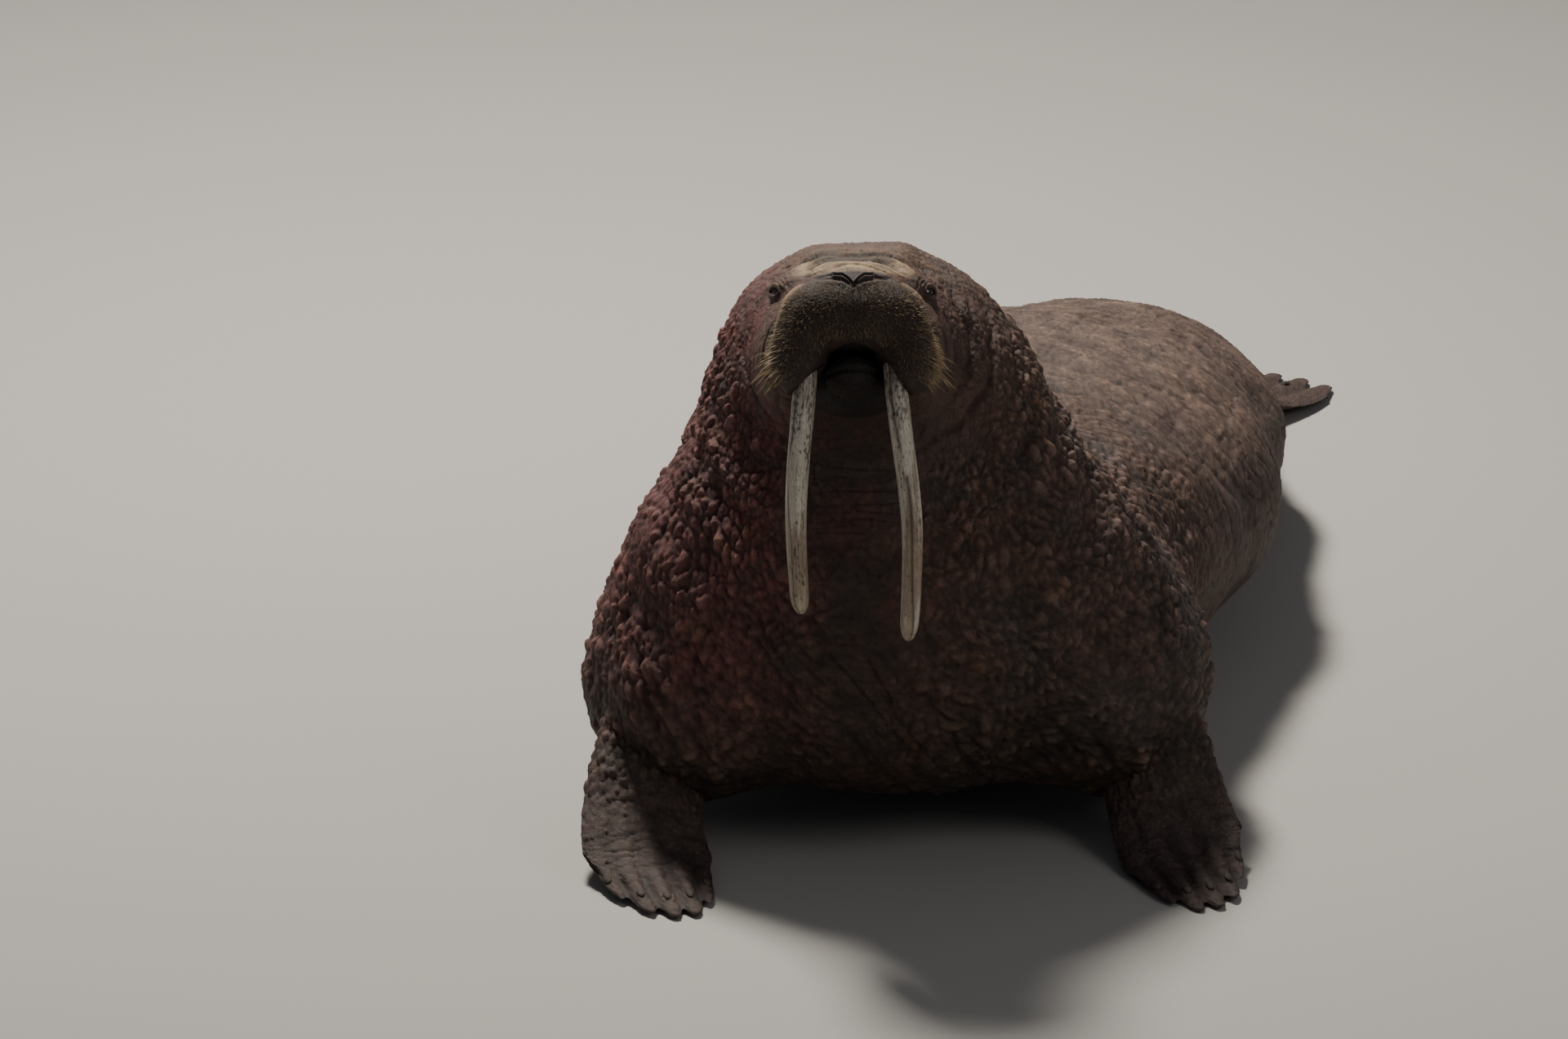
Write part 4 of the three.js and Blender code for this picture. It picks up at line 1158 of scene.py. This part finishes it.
# The chin: rays from its middle out to the two forms of the lower jaw, with small folds, and a
# groove under the lip along a parabola. Its near-black colour is partly its own dark brown and partly
# painted shade, darker still in the folds, between pebbles, on the lip band and in the groove.
def makeChin():
    middle = fromHead(chin["from"])
    axis, side = headTurn @ np.array([0, -1.0, 0]), np.array([1.0, 0, 0])
    lean = np.linspace(2, 178, chin["rows"])[:, None, None] * degree
    a = turns(chin["columns"])[None, :, None]
    way = (side * np.cos(a) + np.cross(axis, side) * np.sin(a)) * np.sin(lean) + axis * np.cos(lean)
    reach = followed(middle, way, np.full(way.shape[:2], 300.0), fleshOf(jawFlesh, True), 60, 0.75)
    points = middle + way * reach[..., None]
    normals = sheetNormals(points, way)
    h, cleft = toHead(points), chin["groove"]
    fold = foldsAt(h / (40, 11, 60), 51, 2.4)
    pebble = bossesAt(points / 9, 52)
    groove = bell(h[..., 2] + cleft["down"] + cleft["bend"] * h[..., 0] ** 2, cleft["wide"])
    groove = groove * smooth(-h[..., 1], -20, 20)
    relief = chin["pebbleHeight"] * (pebble - 0.5) - chin["foldDepth"] * fold
    points = points + normals * (relief - chin["grooveDepth"] * groove)[..., None]
    lip = np.maximum(smooth(h[..., 2], -66, -46), groove)
    # Painted shade in the folds and between the pebbles.
    shade = 1 - 0.35 * fold - 0.3 * np.clip(0.45 - pebble, 0, 1)
    colour = np.array(chin["colour"]) * shade[..., None]
    colour = colour + (np.array(chin["lip"]) - colour) * (0.85 * lip)[..., None]
    return sheetPiece("chin", points, points[0].mean(0), points[-1].mean(0), toneOf(colour))


wear(makeChin(), hideSkin, "hide", "lower_jaw")
print("chin made")


# A smooth path through points, paced by the square root of their distances, and its direction.
def smoothPath(points, t):
    p = np.array(points, float)
    p = np.concatenate([[2 * p[0] - p[1]], p, [2 * p[-1] - p[-2]]])

    def at(t):
        spot = np.clip(t, 0, 1) * (len(points) - 1)
        i = np.minimum(np.floor(spot).astype(int), len(points) - 2)
        u = (spot - i)[..., None]
        a, b, c, d = (p[i + n] for n in range(4))
        pairs = ((a, b), (b, c), (c, d))
        g0, g1, g2 = (np.sqrt(np.linalg.norm(two - one, axis=-1))[..., None] for one, two in pairs)
        slopeB = ((b - a) / g0 - (c - a) / (g0 + g1) + (c - b) / g1) * g1
        slopeC = ((c - b) / g1 - (d - b) / (g1 + g2) + (d - c) / g2) * g1
        return (b + slopeB * u + (-3 * b + 3 * c - 2 * slopeB - slopeC) * u ** 2
                + (2 * b - 2 * c + slopeB + slopeC) * u ** 3)

    inside = np.clip(t, 0.001, 0.999)
    tangent = at(inside + 0.0005) - at(inside - 0.0005)
    return at(t), normed(tangent)


flipper = {
    "fore": {"digits": 5, "knuckle": 0.5, "scallop": 0.045, "ridge": 0.35, "round": 0.2,
             "width": ((105, 0, 1), (22, 0, 0.8), (-14, 0.8, 1)),
             "thick": ((85, 0, 1), (-68, 0, 0.8), (-11, 0.8, 1))},
    "hind": {"digits": 5, "knuckle": 0.4, "scallop": 0.09, "ridge": 0.35, "round": 0.06,
             "width": ((75, 0, 1), (100, 0, 1)),
             "thick": ((72, 0, 1), (-56, 0, 0.75), (-11, 0.75, 1))},
    "foreRight": {"rake": 0.05, "side": (1, 0.3, 0), "path": (
        (-320, 90, 330), (-385, -40, 210), (-410, -180, 90), (-390, -300, 30), (-340, -480, 8))},
    "foreLeft": {"rake": -0.05, "side": (1, -0.25, 0), "path": (
        (500, 100, 330), (585, -20, 210), (625, -140, 90), (660, -255, 30), (715, -430, 8))},
    "hindRight": {"rake": 0, "side": (1, 0.1, 0), "path": (
        (620, 2220, 120), (610, 2400, 80), (590, 2560, 30), (540, 2820, 8))},
    "hindLeft": {"rake": 0, "side": (1, -0.5, 0), "path": (
        (800, 2200, 120), (840, 2370, 80), (900, 2520, 30), (1010, 2740, 8))},
    "rows": 150, "half": 110, "tipFrom": 0.965, "tipRound": 0.036,
    "lumpHeight": 10, "wartHeight": 3.0, "creaseDepth": 2.6, "webDepth": 2.0,
    "colour": (0.070, 0.045, 0.038), "palm": (0.110, 0.070, 0.056),
}


# A sum of smooth steps; the first term is the value at the root.
def stepped(terms, u):
    return terms[0][0] + sum(step * smooth(u, low, high) for step, low, high in terms[1:])


# A flipper: a flat oval carried down a path, with a ridge for each digit, each digit ending at
# its own length, and a rounded scalloped edge.
def makeFlipper(kind, name):
    form, half = {**flipper[kind], **flipper[name]}, flipper["half"]
    u = np.linspace(0, 1, flipper["rows"])[:, None]
    j = np.arange(half * 2)
    w, edge = np.cos(math.pi * j / half)[None], np.sin(math.pi * j / half)[None]
    digit = -np.cos((w + 1) * math.pi * form["digits"])
    blade = smooth(u, form["knuckle"], 1)
    notch = form["scallop"] * ((1 - digit) / 2) ** 2
    along = u - blade * u * (form["round"] * np.abs(w) ** 2.5 - form["rake"] * w + notch)
    at, tangent = smoothPath(form["path"], along)
    side = np.array(form["side"], float)
    side = normed(side - tangent * (tangent @ side)[..., None])
    up = np.cross(tangent, side)
    beyond = np.maximum(u - flipper["tipFrom"], 0) / flipper["tipRound"]
    blunt = np.sqrt(np.clip(1 - beyond ** 2, 0.02, 1))
    thick = stepped(form["thick"], u) * (1 + form["ridge"] * blade * digit) * edge * blunt
    wide = stepped(form["width"], u)
    points = at + side * (w * wide)[..., None] + up * thick[..., None]
    normals = sheetNormals(points, points - at)

    top = smooth(edge, -0.2, 0.3)
    arm = 1 - smooth(u, 0.3, 0.62)
    lumps, lumpName = lumpsAt(points / hide["lumpCell"], 5)
    warts, wartName = lumpsAt(points / (9, 9, 9), 204)
    across = np.stack([w * 2.5 + 0 * u, along * 26, 0 * w + u * 0 + 3.3], -1)
    creases = foldsAt(across, 207, 2.6) * top * smooth(u, 0.25, 0.5)
    web = np.clip(-digit, 0, 1) ** 2 * blade
    relief = flipper["lumpHeight"] * (lumps - 0.3) * arm + flipper["wartHeight"] * (warts - 0.3)
    relief = relief - flipper["creaseDepth"] * creases - flipper["webDepth"] * web * top
    relief = relief * smooth(points[..., 2], 0, 12) * smooth(u, 0, 0.05)
    points = points + normals * relief[..., None]
    points[..., 2] = np.maximum(points[..., 2], 0)
    patches = layered(points / 70, 210, 3)
    colour = tinted(hide["brown"], (
        (hide["olive"], smooth(patches, -0.3, 0.6)), (flipper["colour"], 1 - 0.9 * arm),
        (flipper["palm"], smooth(patches + 0.1 - 0.6 * blade, 0, 1.1) * (1 - arm))), points.shape)
    # Painted light and shade: lump and wart tops lighter, their hollows, the creases and the webs
    # between digits darker.
    shade = 1 + (1.0 * (lumps - 0.36) + 0.3 * (lumpName - 0.5)) * arm
    shade = shade + 0.7 * (warts - 0.3) + 0.2 * (wartName - 0.5)
    shade = shade * (1 - 0.45 * creases) * (1 - 0.35 * web)
    tone = toneOf(colour * np.clip(shade, 0.1, 1.6)[..., None])
    return sheetPiece(titled("flipper", name), points, points[0].mean(0), None, tone), points


nail = {
    "fore": {"row": 0.915, "digits": (0, 1, 2, 3, 4), "size": (8, 14, 5)},
    "hind": {"row": 0.86, "digits": (1, 2, 3), "size": (8, 17, 6)},
    "rows": 16, "columns": 24, "root": (0.045, 0.032, 0.026), "tip": (0.075, 0.056, 0.042),
}


# Nails: a ball's rows drawn out along each digit on the flipper's upper face and sunk into it.
def makeNails(kind, name, points):
    form, digits, made = nail[kind], flipper[kind]["digits"], []
    row = int(form["row"] * (len(points) - 1))
    for number in form["digits"]:
        middle = (2 * number + 1) / digits - 1
        column = int(round(flipper["half"] * math.acos(middle) / math.pi))
        column = max(column, 2 * flipper["half"] - column, key=lambda j: points[row, j, 2])
        ahead = points[row + 3, column] - points[row - 3, column]
        beside = points[row, column + 2] - points[row, column - 2]
        up = np.cross(beside, ahead)
        up *= np.sign(up[2])
        turn = np.stack([normed(v) for v in (np.cross(ahead, up), ahead, up)], -1)
        place = points[row, column] + turn[:, 2] * 0.5
        sheet, ends, unit = ballSheet(place, form["size"], turn, nail["rows"], nail["columns"])
        share = smooth(unit[..., 1:2], -0.6, 0.9)
        colour = np.array(nail["root"]) * (1 - share) + np.array(nail["tip"]) * share
        title = titled("nail", name) + str(number + 1)
        made.append(sheetPiece(title, sheet, ends[0], ends[1], toneOf(colour)))
    return made


darkSkin = hideMaterial("darkFlipperSkin")
for kind, name, node in (
        ("fore", "foreRight", "foreflipper_right"), ("fore", "foreLeft", "foreflipper_left"),
        ("hind", "hindRight", "hindflipper_right"), ("hind", "hindLeft", "hindflipper_left")):
    blade, places = makeFlipper(kind, name)
    wear(blade, darkSkin, "flipper_hide", node)
    for claw in makeNails(kind, name, places):
        wear(claw, darkSkin, "flipper_hide")
print("flippers and nails made")


tailForm = {"at": (735, 2440, 62), "size": (62, 90, 26), "yaw": 18}


# The tail: a flat oval with small bosses, painted darker in the creases between them as shade.
def makeTail():
    turn = turning(yaw=tailForm["yaw"])
    points, ends, unit = ballSheet(tailForm["at"], tailForm["size"], turn, 60, 90)
    cells = bossesAt(points / 12, 221)
    points = points + (unit * (2.4 * (cells - 0.5))[..., None])
    points[..., 2] = np.maximum(points[..., 2], 0)
    colour = np.array(hide["grey"]) * (0.6 + 0.5 * cells)[..., None]
    return sheetPiece("tail", points, ends[0], ends[1], toneOf(colour))


wear(makeTail(), hideSkin, "hide", "tail")
print("tail made")


bristle = {
    "seed": 7, "root": 6, "point": 1.6, "spot": 0.0014, "from": (0, 30, 0),
    "colour": (0.20, 0.130, 0.070), "tip": (0.64, 0.48, 0.28),
    "sets": {
        "stubble": {"count": 10500, "rise": (-46, 40), "out": (0, 84), "length": (3.5, 8),
                    "thick": 0.85, "rings": 3, "sides": 3, "sag": 0.12, "stray": 0.13},
        "whiskers": {"count": 1300, "rise": (-44, 33), "out": (8, 80), "length": (8, 15), "thick": 1.2,
                     "rings": 5, "sides": 4, "sag": 0.16, "stray": 0.15},
        "cornerWhiskers": {"count": 64, "rise": (-37, -9), "out": (50, 72), "length": (22, 52),
                           "thick": 2.0, "rings": 9, "sides": 6, "sag": 0.30, "stray": 0.20},
    },
}


# Many bristles as one mesh. Each starts under the skin at its root and bends down by the square
# of the way along; its radius falls to a point.
def bristleMesh(name, roots, ways, lengths, thick, form, tone, uv):
    rings, sides, n = form["rings"], form["sides"], len(roots)
    u = np.linspace(0, 1, rings)[None, :, None, None]
    a = turns(sides)[None, None, :, None]
    flat = normed(np.cross(ways, np.array([0.3, 0.2, 1.0])))
    other = np.cross(ways, flat)
    whole = (lengths + bristle["root"])[:, None, None, None]
    line = roots[:, None, None] + ways[:, None, None] * (u * whole - bristle["root"])
    line = line - np.array([0, 0, 1.0]) * (u ** 2 * (form["sag"] * lengths)[:, None, None, None])
    radius = (thick / 2)[:, None, None, None] * (1 - u ** bristle["point"])
    points = line + (flat[:, None, None] * np.cos(a) + other[:, None, None] * np.sin(a)) * radius
    verts = np.concatenate([points[:, :-1].reshape(n, -1, 3), line[:, -1], line[:, 0]], 1)
    per = verts.shape[1]
    ring = np.arange(sides)
    after, end = (ring + 1) % sides, (rings - 2) * sides
    tri = np.concatenate([np.stack([end + ring, np.full(sides, per - 2), end + after], -1),
                          np.stack([ring, after, np.full(sides, per - 1)], -1)])
    offset = (np.arange(n) * per)[:, None, None]
    quads = (gridQuads(rings - 1, sides)[None] + offset).reshape(-1, 4)
    tris = (tri[None] + offset).reshape(-1, 3)
    share = np.concatenate([np.repeat(np.linspace(0, 1, rings)[:-1], sides), [1, 0]])
    base, tip = np.array(bristle["colour"]), np.array(bristle["tip"])
    colour = (base + (tip - base) * share[:, None])[None] * tone[:, None, None]
    spot = np.stack([np.cos(share * 3), share], -1) * bristle["spot"]
    allUv = (uv[:, None] + spot[None]).reshape(-1, 2)
    tones = toneOf(colour).reshape(-1, 4)
    return meshPiece(name, verts.reshape(-1, 3), quads, tris, tones, None, allUv)


# Roots on the muzzle: rays from inside the head, outward and upward angles drawn evenly, kept
# on the pads.
def bristleRoots(form, flip):
    count = form["count"]
    sign = np.where(np.arange(count) % 2 == 0, 1.0, -1.0)
    out = flip.uniform(*form["out"], count)
    rise = flip.uniform(*form["rise"], count)
    a, b = out * degree, rise * degree
    local = np.stack([sign * np.sin(a) * np.cos(b), -np.cos(a) * np.cos(b), np.sin(b)], -1)
    ways = local @ headTurn.T
    origin = fromHead(bristle["from"])
    reach = followed(origin, ways, np.full(count, 420.0), wholeFlesh, 60, 0.8)
    roots = origin + ways * reach[:, None]
    here = fieldAt(roots, wholeFlesh)
    normals = normed(np.stack([fieldAt(roots + step, wholeFlesh) - here for step in np.eye(3)], -1))
    h, facing = toHead(roots), normals @ headTurn
    keep = (h[:, 2] < np.interp(np.abs(h[:, 0]), *padTop) - 2) & (h[:, 1] < 20) & (fromPads(roots) < 12)
    keep &= (facing[:, 1] < 0.3) & (facing[:, 2] > -0.70) & (h[:, 2] > -104)
    uv = np.stack([0.5 + local[:, 0] * 0.48, 0.5 + 0.45 * local[:, 2]], -1)
    return sign[keep], out[keep], roots[keep], normals[keep], uv[keep]


# Bristles leave the skin along its normal, turned outward and down, and grow longer and lie
# flatter towards the sides of the pads.
def makeBristles():
    made = []
    for number, (name, form) in enumerate(bristle["sets"].items()):
        flip = np.random.default_rng(bristle["seed"] + number)
        sign, out, roots, normals, uv = bristleRoots(form, flip)
        count = len(out)
        lie = np.stack([sign * 0.35, -0.1 + 0 * sign, -0.45 + 0 * sign], -1) @ headTurn.T
        atSide = smooth(out, 40, 75)
        ways = normals + lie * (0.55 + atSide)[:, None] + flip.normal(0, form["stray"], (count, 3))
        ways = normed(ways)
        lengths = flip.uniform(*form["length"], count) * (1 + 0.6 * atSide * (name != "cornerWhiskers"))
        thick = form["thick"] * flip.uniform(0.75, 1.1, count)
        tone = flip.uniform(0.65, 1.15, count)
        made.append(bristleMesh(name, roots, ways, lengths, thick, form, tone, uv))
    return made


# Bristles: the tone attribute, banded by noise.
def bristleMaterial():
    made, node, into = newMaterial("strawBristle", Roughness=0.42)
    bands = noiseNode(node, placeNode(node), 160.0, 2.0)
    shade = rangeNode(node, bands, 0.3, 0.7, 0.8, 1.15)
    into("Base Color", scaledNode(node, toneNode(node), shade))
    return made


straw = bristleMaterial()
for piece in makeBristles():
    wear(piece, straw, "muzzle_hide")
print("bristles made")


view = {
    "elevation": 20, "distance": 15.0, "pixel": 0.00155, "pad": (0, -330, 1142), "padAt": (1045, 410),
    "image": (1920, 1272), "sensor": 36.0,
}


# The camera looks level-sideways and down by the elevation; the point on the muzzle falls on
# its pixel, at so many metres to a pixel.
def makeCamera():
    e = view["elevation"] * degree
    right = np.array([1.0, 0, 0])
    ahead = np.array([0, math.cos(e), -math.sin(e)])
    above = np.array([0, math.sin(e), math.cos(e)])
    wide, high = view["image"]
    pad = (np.array(view["pad"], float) + partShift) / 1000
    aim = (pad + right * (wide / 2 - view["padAt"][0]) * view["pixel"]
           + above * (view["padAt"][1] - high / 2) * view["pixel"])
    data = bpy.data.cameras.new("camera")
    data.sensor_width = view["sensor"]
    data.lens = view["sensor"] * view["distance"] / (wide * view["pixel"])
    data.clip_end = 300
    camera = bpy.data.objects.new("camera", data)
    camera.location = aim - ahead * view["distance"]
    camera.rotation_euler = (math.pi / 2 - e, 0, 0)
    bpy.context.scene.collection.objects.link(camera)
    bpy.context.scene.camera = camera


studio = {
    "floor": (0.40, 0.385, 0.365),
    "reach": 80.0,
    "sky": (0.88, 0.92, 1.0),
    "skyStrength": 0.12,
    "aim": (0, -0.4, 0.8),
    "key": {"at": (-1.7, 2.4, 7.0), "size": 1.3, "power": 980, "colour": (1.0, 0.94, 0.85)},
    "fill": {"at": (4.5, -4.5, 4.5), "size": 3.0, "power": 64, "colour": (1.0, 0.96, 0.92)},
}


# The floor, the sky's light and two lamps that face the animal.
def makeStudio():
    floor = bpy.data.meshes.new("floor")
    reach = studio["reach"]
    corners = [(-reach, -reach, 0), (reach, -reach, 0), (reach, reach, 0), (-reach, reach, 0)]
    floor.from_pydata(corners, [], [(0, 1, 2, 3)])
    floorPiece = bpy.data.objects.new("floor", floor)
    bpy.context.scene.collection.objects.link(floorPiece)
    paint = {"Base Color": (*studio["floor"], 1), "Roughness": 0.85}
    floor.materials.append(newMaterial("paleFloor", **paint)[0])
    world = bpy.data.worlds.new("studio")
    bpy.context.scene.world = world
    world.use_nodes = True
    back = world.node_tree.nodes["Background"]
    back.inputs["Color"].default_value = (*studio["sky"], 1)
    back.inputs["Strength"].default_value = studio["skyStrength"]
    for name in ("key", "fill"):
        one = studio[name]
        lamp = bpy.data.lights.new(name, "AREA")
        lamp.size, lamp.energy, lamp.color = one["size"], one["power"], one["colour"]
        holder = bpy.data.objects.new(name, lamp)
        away = np.array(one["at"], float) - studio["aim"]
        level = math.hypot(away[0], away[1])
        holder.location = one["at"]
        heading = math.atan2(away[1], away[0]) + math.pi / 2
        holder.rotation_euler = (math.atan2(level, away[2]), 0, heading)
        bpy.context.scene.collection.objects.link(holder)


makeCamera()
makeStudio()
print("camera and studio made")
